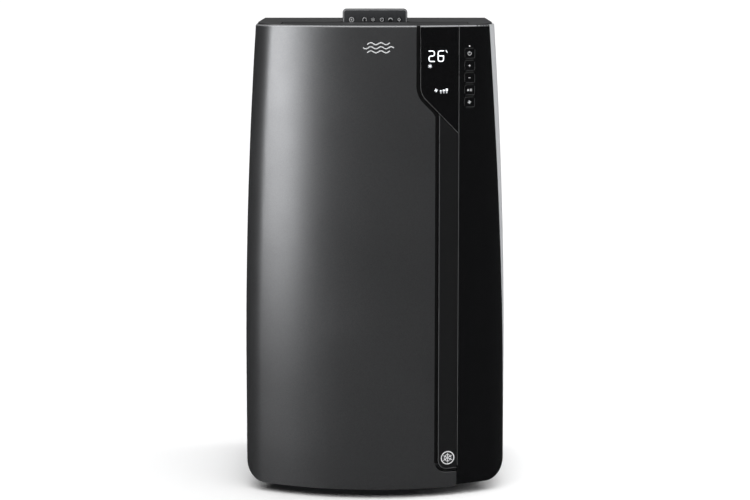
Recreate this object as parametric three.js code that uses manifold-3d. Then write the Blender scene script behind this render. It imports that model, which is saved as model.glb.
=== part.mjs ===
// A portable air conditioner on castors: curved front panels, a display window and a column
// of keys, a motor-driven outlet flap, a remote control standing in its dock, and inside it
// the two blowers, two coils, compressor and boards.
// Millimetres, +Z up, front towards -Y, +X to the right of someone facing the front.
// The origin is on the floor, at the middle of the width and of the depth.
import * as THREE from "three";
import { mergeVertices } from "three/addons/utils/BufferGeometryUtils.js";
import Module from "manifold-3d";

const wasm = await Module();
wasm.setup();

// Driving dimensions.
const WIDTH = 414; // across the widest part of the cabinet
const DEPTH = 390; // from the middle of the front to the end of the exhaust spigot
const PANEL_TOP = 742; // upper edge of the front panels
const PANEL_BOTTOM = 14; // lower edge of the front panel above the floor
const FLARE_START = 200; // the cabinet narrows above this height
const FLARE_POWER = 1.9;
const SIDE_TAPER = 19.5; // how much each side comes in at the top
const FRONT_TAPER = 12; // how much the front leans back at the top
const FRONT_RADIUS = 356; // bow of the front, seen from above
const CORNER_RADIUS = 55; // front corners, seen from above
const REAR_RADIUS = 38; // rear corners, seen from above
const FOOT_RADIUS = 31; // lower corners of the panels, seen from the front
const SHOULDER_RUN = 72; // the top slopes down over this length at the back
const SHOULDER_DROP = 45;
const WALL = 3; // cabinet panels
const THIN = 2; // housings inside
const SLIT = 0.6; // between neighbouring panels
const CLEAR = 0.5; // between a piece and what it sits in
const SPIGOT_LENGTH = 8; // exhaust spigot and rear fittings stand out this far

// Front panels, seen from the front: x to the right, z up.
const GROOVE = 5.8; // shadow groove beside the display and the accent strip
const WINDOW_LEFT = 69.8;
const WINDOW_CORNER_DROP = 105.6; // below the panels' top, its left edge meets the slanting one
const WINDOW_SLOPE = 46; // degrees below level
const WINDOW_CORNER_RADIUS = 32;
const SEAM_X = 129.8; // seam between the window and the key panel
const STRIP_WIDTH = 30.4;
const STRIP_BOTTOM = 44;
const STRIP_CORNER = 14;
const KEY_PANEL_LIFT = 3; // the key panel ends this much higher than the front panel
const KEY_PANEL_END_TOP = 57; // degrees round the right front corner, at the panels' top
const KEY_PANEL_END_LOW = 86; // and at their lower edge
const KEY_PANEL_END_POWER = 1.8;
const FRONT_WRAP_Y = -66; // the front panel wraps round the left side to here

// Keys on the key panel.
const KEY_COUNT = 5;
const KEY_X = 147;
const KEY_TOP_DROP = 43.6; // centre of the uppermost key below the panels' top
const KEY_PITCH = 18.85;
const KEY_WIDTH = 17.6;
const KEY_HEIGHT = 16.2;
const KEY_PROUD = 0.3;

// Outlet at the top.
const COVER_RISE = 3; // the cover stands this much above the panels
const COVER_SKIRT = 12;
const OUTLET_HALF = 145.5;
const OUTLET_DEEP = 95; // from the front to the outlet's rear edge, where the flap is hinged
const FLAP_THICKNESS = 3;
const FLAP_PIN_RADIUS = 2.5;

// Remote control and its dock.
const REMOTE_WIDTH = 102;
const REMOTE_THICKNESS = 16;
const REMOTE_HEIGHT = 58;
const REMOTE_SHOWN = 20.5; // what stands above the cover
const DOCK_CLEARANCE = 1.5;
const REMOTE_KEY_RADIUS = 4.2;
const REMOTE_KEY_Z = 3.4; // centre of the row of keys above the cover
const REMOTE_KEY_X = [-37, -16.5, -3, 10.8, 24.4, 38];
const REMOTE_KEY_TRAVEL = 0.6;

// Grilles, coils and ducts, seen from behind.
const GRILLE_HALF = 138;
const UPPER_GRILLE_DROP = 66; // upper edge of the upper grille below the panels' top
const UPPER_GRILLE_HEIGHT = 210;
const LOWER_GRILLE_Z = [82, 286];
const COIL_THICKNESS = 36;
const COIL_GAP = 20; // between a grille and its coil
const EXHAUST_Z = 374;
const EXHAUST_RADIUS = 64; // bore of the exhaust spigot
const BULKHEAD_DROP = 14; // the plate between the two halves is this much below the upper grille

// Castors.
const WHEEL_RADIUS = 20;
const WHEEL_WIDTH = 11;
const CASTOR_CHEEK = 11; // thickness of the castor's middle plate
const CASTOR_TRAIL = 14;
const CASTOR_X = 138;
const CASTOR_FRONT_Y = -85;
const CASTOR_REAR_Y = 116;
const TRAY_Z = 50; // underside of the base tray
const PLINTH_INSET = 24;

const FLOAT = { x: -10, y: -130 }; // the float in the base tray

// Side handles.
const HANDLE_Y = [-10, 100];
const HANDLE_DROP = 90; // upper edge of the hole below the panels' top
const HANDLE_HEIGHT = 44;
const HANDLE_CORNER = 12;
const HANDLE_DEPTH = 30;

// Metal box with the mains parts, in the lower half behind the front panel.
const CONTROL_BOX_X = [40, 140];
const CONTROL_BOX_INSET = [60, 120]; // its front and back behind the front of the cabinet
const CONTROL_BOX_Z = [110, 330];
const GLAND_PITCH = 28;

// Derived places.
const HALF = WIDTH / 2;
const FRONT_Y = -DEPTH / 2;
const BACK_Y = DEPTH / 2 - SPIGOT_LENGTH;
const RIDGE_Y = FRONT_Y + OUTLET_DEEP;
const COVER_TOP = PANEL_TOP + COVER_RISE;
const SHOULDER_Y = BACK_Y - SHOULDER_RUN;
const BACK_TOP = PANEL_TOP - SHOULDER_DROP;
const INNER_BACK = BACK_Y - WALL;
const STRIP_LEFT = SEAM_X - STRIP_WIDTH;
const BACK_HALF = HALF - SIDE_TAPER - REAR_RADIUS - 4; // half the width of the flat back panel
const FRAME_OUT = WALL + CLEAR;
const FRAME_IN = FRAME_OUT + 2.5;
const TRAY_INSET = FRAME_IN + 0.8;
const WINDOW_CORNER_Z = PANEL_TOP - WINDOW_CORNER_DROP;
const KEY_TOP_Z = PANEL_TOP - KEY_TOP_DROP;
const UPPER_GRILLE_TOP = PANEL_TOP - UPPER_GRILLE_DROP;
const UPPER_GRILLE_Z = [UPPER_GRILLE_TOP - UPPER_GRILLE_HEIGHT, UPPER_GRILLE_TOP];
const BULKHEAD_Z = UPPER_GRILLE_Z[0] - BULKHEAD_DROP;
const HANDLE_TOP = PANEL_TOP - HANDLE_DROP;
const HANDLE_Z = [HANDLE_TOP - HANDLE_HEIGHT, HANDLE_TOP];
const ABOVE = 2 * PANEL_TOP; // cutting pieces that run out of the top end here
const RAD = Math.PI / 180;

// Solids.
function solid(geometry) {
  const bare = geometry.clone();
  bare.deleteAttribute("normal");
  bare.deleteAttribute("uv");
  const merged = mergeVertices(bare, 1e-3);
  const mesh = new wasm.Mesh({
    numProp: 3,
    vertProperties: new Float32Array(merged.attributes.position.array),
    triVerts: new Uint32Array(merged.index.array),
  });
  return new wasm.Manifold(mesh);
}

function geometryOf(body) {
  const mesh = body.getMesh();
  const geometry = new THREE.BufferGeometry();
  const places = new Float32Array(mesh.vertProperties);
  geometry.setAttribute("position", new THREE.BufferAttribute(places, mesh.numProp));
  geometry.setIndex(new THREE.BufferAttribute(new Uint32Array(mesh.triVerts), 1));
  geometry.computeVertexNormals();
  return geometry;
}

const join = (bodies) => bodies.reduce((all, body) => all.add(body));
const cut = (body, tools) => tools.reduce((left, tool) => left.subtract(tool), body);

function block(x0, x1, y0, y1, z0, z1) {
  const geometry = new THREE.BoxGeometry(x1 - x0, y1 - y0, z1 - z0);
  geometry.translate((x0 + x1) / 2, (y0 + y1) / 2, (z0 + z1) / 2);
  return solid(geometry);
}

function shapeOf(points) {
  return new THREE.Shape(points.map(([a, b]) => new THREE.Vector2(a, b)));
}

// Prisms with an outline in XY, XZ or YZ.
function prismZ(points, z0, z1) {
  const depth = z1 - z0;
  const geometry = new THREE.ExtrudeGeometry(shapeOf(points), { depth, bevelEnabled: false });
  geometry.translate(0, 0, z0);
  return solid(geometry);
}

function prismY(points, y0, y1) {
  const depth = y1 - y0;
  const geometry = new THREE.ExtrudeGeometry(shapeOf(points), { depth, bevelEnabled: false });
  geometry.rotateX(Math.PI / 2);
  geometry.translate(0, y1, 0);
  return solid(geometry);
}

function prismX(points, x0, x1) {
  const depth = x1 - x0;
  const geometry = new THREE.ExtrudeGeometry(shapeOf(points), { depth, bevelEnabled: false });
  const turn = new THREE.Matrix4().makeBasis(
    new THREE.Vector3(0, 1, 0),
    new THREE.Vector3(0, 0, 1),
    new THREE.Vector3(1, 0, 0),
  );
  geometry.applyMatrix4(turn);
  geometry.translate(x0, 0, 0);
  return solid(geometry);
}

// A round bar along Z, X or Y, from one end to the other.
function rodZ(radius, x, y, z0, z1, segments = 24) {
  const geometry = new THREE.CylinderGeometry(radius, radius, z1 - z0, segments);
  geometry.rotateX(Math.PI / 2);
  geometry.translate(x, y, (z0 + z1) / 2);
  return solid(geometry);
}

function rodX(radius, y, z, x0, x1, segments = 24) {
  const geometry = new THREE.CylinderGeometry(radius, radius, x1 - x0, segments);
  geometry.rotateZ(Math.PI / 2);
  geometry.translate((x0 + x1) / 2, y, z);
  return solid(geometry);
}

function rodY(radius, x, z, y0, y1, segments = 24) {
  const geometry = new THREE.CylinderGeometry(radius, radius, y1 - y0, segments);
  geometry.translate(x, (y0 + y1) / 2, z);
  return solid(geometry);
}

// A turned piece about +Z from [radius, height] pairs that start and end on the axis.
function turned(profile, segments = 24) {
  const points = profile.map(([r, h]) => new THREE.Vector2(r, h));
  const geometry = new THREE.LatheGeometry(points, segments);
  geometry.rotateX(Math.PI / 2);
  return solid(geometry);
}

function roundedRect(a0, a1, b0, b1, radius, steps = 4) {
  const corners = [
    [a1 - radius, b0 + radius, -90],
    [a1 - radius, b1 - radius, 0],
    [a0 + radius, b1 - radius, 90],
    [a0 + radius, b0 + radius, 180],
  ];
  return corners.flatMap(([a, b, start]) => arc(a, b, radius, start, start + 90, steps));
}

function arc(a, b, radius, from, to, steps) {
  return Array.from({ length: steps + 1 }, (_, i) => {
    const angle = (from + ((to - from) * i) / steps) * RAD;
    return [a + radius * Math.cos(angle), b + radius * Math.sin(angle)];
  });
}

// The cabinet's outline.
// How far the cabinet has narrowed at height z: 0 below the flare, 1 at the panels' top.
function flare(z) {
  const share = (z - FLARE_START) / (PANEL_TOP - FLARE_START);
  return Math.pow(Math.max(0, share), FLARE_POWER);
}

// The outline at height z: a bowed front, round corners and straight sides and back.
function section(z) {
  const half = HALF - SIDE_TAPER * flare(z);
  const front = FRONT_Y + FRONT_TAPER * flare(z);
  const bowY = front + FRONT_RADIUS;
  const cornerX = half - CORNER_RADIUS;
  const drop = Math.sqrt((FRONT_RADIUS - CORNER_RADIUS) ** 2 - cornerX ** 2);
  const cornerY = bowY - drop;
  const meet = Math.atan2(cornerX, drop); // where the bow turns into the corner
  return { half, bowY, cornerX, cornerY, meet };
}

// Stations run round the outline: 0 at the middle of the front, 1 where the bow ends, 2 at
// the start of the side, 3 at its end, 4 at the start of the back, 5 at the back's middle.
// They are negative on the left.
const frontAt = (x) => (z) => {
  const share = Math.asin(Math.abs(x) / FRONT_RADIUS) / section(z).meet;
  return Math.sign(x) * share;
};
const cornerAt = (degrees) => (z) => {
  const { meet } = section(z);
  return 1 + (degrees * RAD - meet) / (Math.PI / 2 - meet);
};
const sideAt = (y) => (z) => {
  const { cornerY } = section(z);
  return 2 + (y - cornerY) / (BACK_Y - REAR_RADIUS - cornerY);
};
const backAt = (x) => (z) => 4 + 1 - x / (section(z).half - REAR_RADIUS);
const leftOf = (station) => (z) => -station(z);

function outlinePoint(station, z, inset) {
  const { half, bowY, cornerX, cornerY, meet } = section(z);
  const side = station < 0 ? -1 : 1;
  const u = Math.abs(station);
  let x;
  let y;
  if (u <= 1) {
    const angle = u * meet;
    x = (FRONT_RADIUS - inset) * Math.sin(angle);
    y = bowY - (FRONT_RADIUS - inset) * Math.cos(angle);
  } else if (u <= 2) {
    const angle = meet + (u - 1) * (Math.PI / 2 - meet);
    x = cornerX + (CORNER_RADIUS - inset) * Math.sin(angle);
    y = cornerY - (CORNER_RADIUS - inset) * Math.cos(angle);
  } else if (u <= 3) {
    x = half - inset;
    y = cornerY + (u - 2) * (BACK_Y - REAR_RADIUS - cornerY);
  } else if (u <= 4) {
    const angle = (u - 3) * (Math.PI / 2);
    x = half - REAR_RADIUS + (REAR_RADIUS - inset) * Math.cos(angle);
    y = BACK_Y - REAR_RADIUS + (REAR_RADIUS - inset) * Math.sin(angle);
  } else {
    x = (half - REAR_RADIUS) * (5 - u);
    y = BACK_Y - inset;
  }
  return [side * x, y];
}

// How many straight pieces each stretch between whole stations is made of.
const STRETCH_STEPS = [8, 6, 1, 3, 1];

// The stations from one place to another, with every whole station between them. The count
// is the same at each height, so that neighbouring sections join up.
function stationsBetween(from, to, z) {
  const a = from(z);
  const b = to(z);
  const middle = (PANEL_TOP + PANEL_BOTTOM) / 2;
  const inner = [];
  for (let k = Math.ceil(from(middle) + 1e-6); k < to(middle) - 1e-6; k++) inner.push(k);
  const marks = [a, ...inner, b];
  const midMarks = [from(middle), ...inner, to(middle)];
  const list = [a];
  for (let i = 1; i < marks.length; i++) {
    const stretch = Math.floor(Math.abs((midMarks[i - 1] + midMarks[i]) / 2));
    const length = midMarks[i] - midMarks[i - 1];
    const steps = Math.max(1, Math.ceil(STRETCH_STEPS[stretch] * length - 1e-6));
    for (let k = 1; k <= steps; k++) {
      list.push(marks[i - 1] + ((marks[i] - marks[i - 1]) * k) / steps);
    }
  }
  return list;
}

const FLARE_LEVELS = 5;
function levelsBetween(z0, z1) {
  const rise = (PANEL_TOP - FLARE_START) / FLARE_LEVELS;
  const inside = [];
  for (let k = 0; k <= FLARE_LEVELS; k++) {
    const z = FLARE_START + k * rise;
    if (z > z0 + 1 && z < z1 - 1) inside.push(z);
  }
  return [z0, ...inside, z1];
}

// A solid through closed rings of equal length, one at each level.
function skinOf(levels, ringAt) {
  const rings = levels.map((z) => ringAt(z));
  const count = rings[0].length;
  const places = rings.flatMap((ring, k) => ring.flatMap(([x, y]) => [x, y, levels[k]]));
  const index = [];
  for (let k = 0; k + 1 < rings.length; k++) {
    for (let i = 0; i < count; i++) {
      const a = k * count + i;
      const b = k * count + ((i + 1) % count);
      index.push(a, b, b + count, a, b + count, a + count);
    }
  }
  const caps = (ring, base, up) => {
    const outline = ring.map(([x, y]) => new THREE.Vector2(x, y));
    for (const [a, b, c] of THREE.ShapeUtils.triangulateShape(outline, [])) {
      index.push(...(up ? [base + a, base + b, base + c] : [base + a, base + c, base + b]));
    }
  };
  caps(rings[0], 0, false);
  caps(rings.at(-1), (rings.length - 1) * count, true);
  const geometry = new THREE.BufferGeometry();
  geometry.setAttribute("position", new THREE.Float32BufferAttribute(places, 3));
  geometry.setIndex(index);
  return solid(geometry);
}

// A stretch of the cabinet's wall between two stations, from one inset to another.
function wallBetween(from, to, outer, inner, z0, z1) {
  return skinOf(levelsBetween(z0, z1), (z) => {
    const stations = stationsBetween(from, to, z);
    const outside = stations.map((u) => outlinePoint(u, z, outer));
    const inside = stations.map((u) => outlinePoint(u, z, inner)).reverse();
    return [...outside, ...inside];
  });
}

// Everything inside the outline, between two heights.
function fullBody(inset, z0, z1) {
  const whole = (z) => stationsBetween(leftOf(backAt(0.01)), backAt(0.01), z);
  return skinOf(levelsBetween(z0, z1), (z) => whole(z).map((u) => outlinePoint(u, z, inset)));
}

// Cuts that every panel shares: the sloping shoulder at the back and the round lower corners.
function shoulderCut(rise) {
  const far = 2 * DEPTH;
  const slope = SHOULDER_DROP / SHOULDER_RUN;
  const outline = [
    [SHOULDER_Y, PANEL_TOP + rise],
    [SHOULDER_Y + far, PANEL_TOP + rise - slope * far],
    [SHOULDER_Y + far, ABOVE],
    [SHOULDER_Y, ABOVE],
  ];
  return prismX(outline, -WIDTH, WIDTH);
}

function footOutline(lift) {
  const bottom = PANEL_BOTTOM + lift;
  return [
    ...arc(-HALF + FOOT_RADIUS, bottom + FOOT_RADIUS, FOOT_RADIUS, 180, 270, 6),
    ...arc(HALF - FOOT_RADIUS, bottom + FOOT_RADIUS, FOOT_RADIUS, 270, 360, 6),
    [HALF + 1, ABOVE],
    [-HALF - 1, ABOVE],
  ];
}

// All that is behind the seam between the key panel and the right side, by at least `gap`.
// The seam runs further round the corner lower down.
const SEAM_STEPS = 12;
function behindSeam(gap) {
  const seam = [];
  for (let k = 0; k <= SEAM_STEPS; k++) {
    const down = 1 - k / SEAM_STEPS;
    const z = PANEL_TOP - down * (PANEL_TOP - PANEL_BOTTOM);
    const turn = (KEY_PANEL_END_LOW - KEY_PANEL_END_TOP) * Math.pow(down, KEY_PANEL_END_POWER);
    const angle = (KEY_PANEL_END_TOP + turn) * RAD;
    seam.push([section(z).cornerY - CORNER_RADIUS * Math.cos(angle) + gap, z]);
  }
  const [low, high] = [seam[0], seam.at(-1)];
  return prismX([[low[0], 0], ...seam, [high[0], ABOVE], [DEPTH, ABOVE], [DEPTH, 0]], 0, WIDTH);
}

const footShape = (lift) => prismY(footOutline(lift), -DEPTH, DEPTH);

// The same rounding along the lower edge of the back.
function rearFoot() {
  const [y, z] = [BACK_Y - FOOT_RADIUS, PANEL_BOTTOM + FOOT_RADIUS];
  const outline = [
    [-DEPTH, PANEL_BOTTOM],
    ...arc(y, z, FOOT_RADIUS, 270, 360, 6),
    [BACK_Y, ABOVE],
    [-DEPTH, ABOVE],
  ];
  return prismX(outline, -WIDTH, WIDTH);
}

// Front panels.
const tan = Math.tan(WINDOW_SLOPE * RAD);
const slantZ = (x, away) =>
  WINDOW_CORNER_Z - (x - WINDOW_LEFT) * tan - away / Math.cos(WINDOW_SLOPE * RAD);

// The display window's left and slanting edges with their round corner, moved out by `away`.
function windowEdge(away) {
  const left = WINDOW_LEFT - away;
  const radius = WINDOW_CORNER_RADIUS + away;
  const centreX = WINDOW_LEFT + WINDOW_CORNER_RADIUS;
  const turn = 90 - WINDOW_SLOPE;
  const centreZ = WINDOW_CORNER_Z + WINDOW_CORNER_RADIUS * Math.tan((turn / 2) * RAD);
  return [
    [left, PANEL_TOP + 1],
    ...arc(centreX, centreZ, radius, 180, 180 + turn, 5),
    [SEAM_X + WALL, slantZ(SEAM_X + WALL, away)],
  ];
}

function windowOutline(away) {
  return [...windowEdge(away), [SEAM_X + WALL, PANEL_TOP + 1]];
}

// The accent strip below the window, with a round lower left corner.
function stripOutline(away) {
  const left = STRIP_LEFT - away;
  const [centreX, centreZ] = [STRIP_LEFT + STRIP_CORNER, STRIP_BOTTOM + STRIP_CORNER];
  return [
    [left, WINDOW_CORNER_Z],
    ...arc(centreX, centreZ, STRIP_CORNER + away, 180, 270, 6),
    [SEAM_X + WALL, STRIP_BOTTOM - away],
    [SEAM_X + WALL, WINDOW_CORNER_Z],
  ];
}

const FRONT_REACH = [-DEPTH, SHOULDER_Y]; // prisms that cut the front panels run over this

function frontWall(fromX, toX) {
  return wallBetween(fromX, toX, 0, WALL, PANEL_BOTTOM, PANEL_TOP);
}

function frontPanel() {
  const wall = frontWall(leftOf(sideAt(FRONT_WRAP_Y)), frontAt(SEAM_X - SLIT));
  return cut(wall, [
    prismY(windowOutline(GROOVE), ...FRONT_REACH),
    prismY(stripOutline(GROOVE), ...FRONT_REACH),
  ]).intersect(footShape(0));
}

function displayWindow() {
  const wall = frontWall(frontAt(WINDOW_LEFT - 2), frontAt(SEAM_X - SLIT));
  return wall.intersect(prismY(windowOutline(0), ...FRONT_REACH));
}

function accentStrip() {
  const wall = frontWall(frontAt(STRIP_LEFT - 2), frontAt(SEAM_X - SLIT));
  const strip = wall.intersect(prismY(stripOutline(0), ...FRONT_REACH));
  return cut(strip, [prismY(windowOutline(SLIT), ...FRONT_REACH)]);
}

const keyZ = (k) => KEY_TOP_Z - k * KEY_PITCH;
const KEY_ANGLE = Math.asin(KEY_X / FRONT_RADIUS);

// A bar square to the panel at the keys: an outline in the panel's plane, from inside the
// cabinet to outside it.
function keyBar(width, height, radius, z, depthIn) {
  const outline = roundedRect(-width / 2, width / 2, -height / 2, height / 2, radius, 2);
  const reach = 20;
  const geometry = new THREE.ExtrudeGeometry(shapeOf(outline), {
    depth: depthIn + reach,
    bevelEnabled: false,
  });
  geometry.rotateX(Math.PI / 2);
  geometry.translate(0, depthIn, 0);
  geometry.rotateZ(KEY_ANGLE);
  const [x, y] = outlinePoint(frontAt(KEY_X)(z), z, 0);
  geometry.translate(x, y, z);
  return solid(geometry);
}

function keyPanel() {
  const wall = frontWall(frontAt(SEAM_X), cornerAt(KEY_PANEL_END_LOW + 2));
  const holes = Array.from({ length: KEY_COUNT }, (_, k) =>
    keyBar(KEY_WIDTH + 2 * CLEAR, KEY_HEIGHT + 2 * CLEAR, 3 + CLEAR, keyZ(k), 30),
  );
  return cut(wall, [...holes, behindSeam(0)]).intersect(footShape(KEY_PANEL_LIFT));
}

// A key: a cap that follows the panel's surface, on a wider flange that keeps it in.
const FLANGE = 1.2;
function panelKey(k) {
  const z = keyZ(k);
  const near = frontAt(KEY_X - KEY_WIDTH);
  const far = cornerAt(KEY_PANEL_END_TOP);
  const room = [z - KEY_HEIGHT, z + KEY_HEIGHT];
  const cap = wallBetween(near, far, -KEY_PROUD, WALL + 1.6, ...room);
  const flange = wallBetween(near, far, WALL + 0.3, WALL + 1.6, ...room);
  const capBar = keyBar(KEY_WIDTH, KEY_HEIGHT, 3, z, 30);
  const flangeHeight = Math.min(KEY_HEIGHT + 2 * FLANGE, KEY_PITCH - CLEAR);
  const flangeBar = keyBar(KEY_WIDTH + 2 * FLANGE, flangeHeight, 3, z, 30);
  return join([cap.intersect(capBar), flange.intersect(flangeBar)]);
}

// The frame behind the front panels, which they clip to. It is open behind the window and
// the keys, where the display board sits.
const BAY_Z = [KEY_TOP_Z - (KEY_COUNT - 0.1) * KEY_PITCH, KEY_TOP_Z + KEY_HEIGHT];
const KEY_BAY_X = [SEAM_X, KEY_X + KEY_WIDTH + 3];
const BAY_MARGIN = 5; // the bay is this much inside the window's edge
const FRAME_BACK = 3; // degrees the frame ends before the key panel does
function frontFrame() {
  const from = leftOf(sideAt(FRONT_WRAP_Y - 8));
  const to = cornerAt(KEY_PANEL_END_TOP - FRAME_BACK);
  const top = PANEL_TOP - COVER_SKIRT - 0.5 - CLEAR;
  const wall = wallBetween(from, to, FRAME_OUT, FRAME_IN, PANEL_BOTTOM + FOOT_RADIUS + 8, top);
  const windowBay = prismY(windowOutline(-BAY_MARGIN), ...FRONT_REACH);
  const belowTop = block(0, WIDTH, ...FRONT_REACH, 0, BAY_Z[1]);
  const keyBay = prismY(roundedRect(...KEY_BAY_X, ...BAY_Z, 4, 2), ...FRONT_REACH);
  return cut(wall, [windowBay.intersect(belowTop), keyBay]);
}

// Side and back panels.
function sideCut(body) {
  return body.subtract(shoulderCut(0)).intersect(footShape(0)).intersect(rearFoot());
}

// The hole for the fingers in a side panel, from one x to another.
function handleHole(x0, x1) {
  return prismX(roundedRect(...HANDLE_Y, ...HANDLE_Z, HANDLE_CORNER, 4), x0, x1);
}

function rightSide() {
  const from = cornerAt(KEY_PANEL_END_TOP - 5);
  const wall = wallBetween(from, backAt(BACK_HALF), 0, WALL, PANEL_BOTTOM, PANEL_TOP);
  return sideCut(wall).intersect(behindSeam(SLIT)).subtract(handleHole(0, WIDTH));
}

function leftSide() {
  const from = leftOf(backAt(BACK_HALF));
  const to = leftOf(sideAt(FRONT_WRAP_Y + SLIT));
  const wall = wallBetween(from, to, 0, WALL, PANEL_BOTTOM, PANEL_TOP);
  return sideCut(wall).subtract(handleHole(-WIDTH, 0));
}

// A cup behind the hole in a side panel, for the fingers. side is 1 on the right.
function handleCup(side) {
  const middle = (HANDLE_Z[0] + HANDLE_Z[1]) / 2;
  const face = section(middle).half;
  const [y0, y1] = HANDLE_Y;
  const [z0, z1] = HANDLE_Z;
  const deep = face - HANDLE_DEPTH;
  const span = (a, b) => (side > 0 ? [a, b] : [-b, -a]);
  const outer = block(...span(deep, WIDTH), y0 - 4, y1 + 4, z0 - 4, z1 + 4);
  const inner = handleHole(...span(deep + THIN, 2 * WIDTH));
  return outer.intersect(fullBody(WALL + CLEAR, z0 - 20, z1 + 20)).subtract(inner);
}

function grilleHole([z0, z1]) {
  return block(-GRILLE_HALF - CLEAR, GRILLE_HALF + CLEAR, 0, DEPTH, z0 - CLEAR, z1 + CLEAR);
}

const INLET = { x: -122, z: 322, radius: 9 };
const DRAIN = { x: 118, z: 66, radius: 7 };

function backPanel() {
  const half = BACK_HALF - SLIT;
  const plate = block(-half, half, INNER_BACK, BACK_Y, PANEL_BOTTOM, BACK_TOP - 0.2);
  return cut(plate.intersect(rearFoot()), [
    grilleHole(UPPER_GRILLE_Z),
    grilleHole(LOWER_GRILLE_Z),
    rodY(EXHAUST_RADIUS + WALL + 2 * CLEAR, 0, EXHAUST_Z, 0, DEPTH, 32),
    rodY(INLET.radius + CLEAR, INLET.x, INLET.z, 0, DEPTH, 20),
    rodY(DRAIN.radius + CLEAR, DRAIN.x, DRAIN.z, 0, DEPTH, 20),
  ]);
}

// A louvred grille: a frame with level slats and two upright ribs.
const SLAT_PITCH = 14;
const SLAT_HEIGHT = 9.4;
function grille([z0, z1], thickness) {
  const y0 = BACK_Y - thickness;
  const border = 10;
  const frame = block(-GRILLE_HALF, GRILLE_HALF, y0, BACK_Y, z0, z1);
  const half = GRILLE_HALF - border;
  const hole = block(-half, half, 0, DEPTH, z0 + border, z1 - border);
  const slats = [];
  const rows = Math.floor((z1 - z0 - 2 * border) / SLAT_PITCH);
  const start = (z0 + z1 - rows * SLAT_PITCH) / 2 + (SLAT_PITCH - SLAT_HEIGHT) / 2;
  for (let k = 0; k < rows; k++) {
    const z = start + k * SLAT_PITCH;
    slats.push(block(-half - 1, half + 1, y0 + 0.5, BACK_Y - 0.4, z, z + SLAT_HEIGHT));
  }
  const ribs = [-1, 1].map((k) => {
    const x = (k * half) / 3;
    return block(x - 1.5, x + 1.5, y0 + 0.2, BACK_Y - 1, z0 + border - 1, z1 - border + 1);
  });
  return join([frame.subtract(hole), ...slats, ...ribs]);
}

// The dust filter clipped behind the upper grille: a frame with a grid that carries the mesh.
function airFilter() {
  const [z0, z1] = UPPER_GRILLE_Z;
  const y1 = BACK_Y - WALL - CLEAR;
  const y0 = y1 - 4;
  const half = GRILLE_HALF - 6;
  const outer = block(-half, half, y0, y1, z0 + 6, z1 - 6);
  const cells = [];
  const columns = 5;
  const rows = 4;
  const cellWidth = (2 * half - 6) / columns;
  const cellHeight = (z1 - z0 - 18) / rows;
  for (let i = 0; i < columns; i++) {
    for (let k = 0; k < rows; k++) {
      const x = -half + 5 + i * cellWidth;
      const z = z0 + 11 + k * cellHeight;
      cells.push(block(x, x + cellWidth - 4, y0 + 1, DEPTH, z, z + cellHeight - 4));
    }
  }
  return cut(outer, cells);
}

function exhaustCollar() {
  const y0 = INNER_BACK - 1;
  const outer = rodY(EXHAUST_RADIUS + WALL, 0, EXHAUST_Z, y0, BACK_Y + SPIGOT_LENGTH, 32);
  const flange = rodY(EXHAUST_RADIUS + 14, 0, EXHAUST_Z, BACK_Y + CLEAR, BACK_Y + 3.4, 32);
  const bore = rodY(EXHAUST_RADIUS, 0, EXHAUST_Z, 0, DEPTH, 32);
  return join([outer, flange]).subtract(bore);
}

// The bush that holds the power lead where it leaves the back.
function cordBush() {
  const { x, z, radius } = INLET;
  return cut(
    join([
      rodY(radius, x, z, INNER_BACK - 3, BACK_Y + 1, 20),
      rodY(radius + 4, x, z, BACK_Y + CLEAR, BACK_Y + 2.6, 20),
      rodY(radius - 3, x, z, BACK_Y, BACK_Y + SPIGOT_LENGTH - 0.5, 20),
    ]),
    [rodY(3.6, x, z, INNER_BACK - 9, BACK_Y + 20, 16)],
  );
}

// Base and castors.
function baseTray() {
  const rim = 24;
  const outer = fullBody(TRAY_INSET, TRAY_Z, TRAY_Z + rim);
  const hollow = fullBody(TRAY_INSET + THIN, TRAY_Z + WALL, TRAY_Z + rim + 5);
  const plinth = fullBody(PLINTH_INSET, PANEL_BOTTOM + 3, TRAY_Z + 1);
  const under = fullBody(PLINTH_INSET + THIN, PANEL_BOTTOM - 2, TRAY_Z);
  const bosses = castorPlaces().map(([x, y]) => rodZ(10, x, y, TRAY_Z - 2, TRAY_Z + 18, 12));
  const sockets = castorPlaces().map(([x, y]) => rodZ(5 + 0.3, x, y, 0, TRAY_Z + 15, 12));
  const port = rodY(DRAIN.radius, DRAIN.x, DRAIN.z, BACK_Y - TRAY_INSET - 1, BACK_Y + 3, 20);
  const bore = rodY(DRAIN.radius - 2, DRAIN.x, DRAIN.z, 0, DEPTH, 16);
  const shell = join([outer.subtract(hollow), plinth.subtract(under), ...bosses, port]);
  const foot = footShape(0);
  const floatPost = rodZ(3, FLOAT.x, FLOAT.y, TRAY_Z + 1, TRAY_Z + 34, 12);
  return join([cut(shell, [...sockets, bore]).intersect(foot), floatPost]);
}

function castorPlaces() {
  return [
    [-CASTOR_X, CASTOR_FRONT_Y],
    [CASTOR_X, CASTOR_FRONT_Y],
    [-CASTOR_X, CASTOR_REAR_Y],
    [CASTOR_X, CASTOR_REAR_Y],
  ];
}

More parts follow.
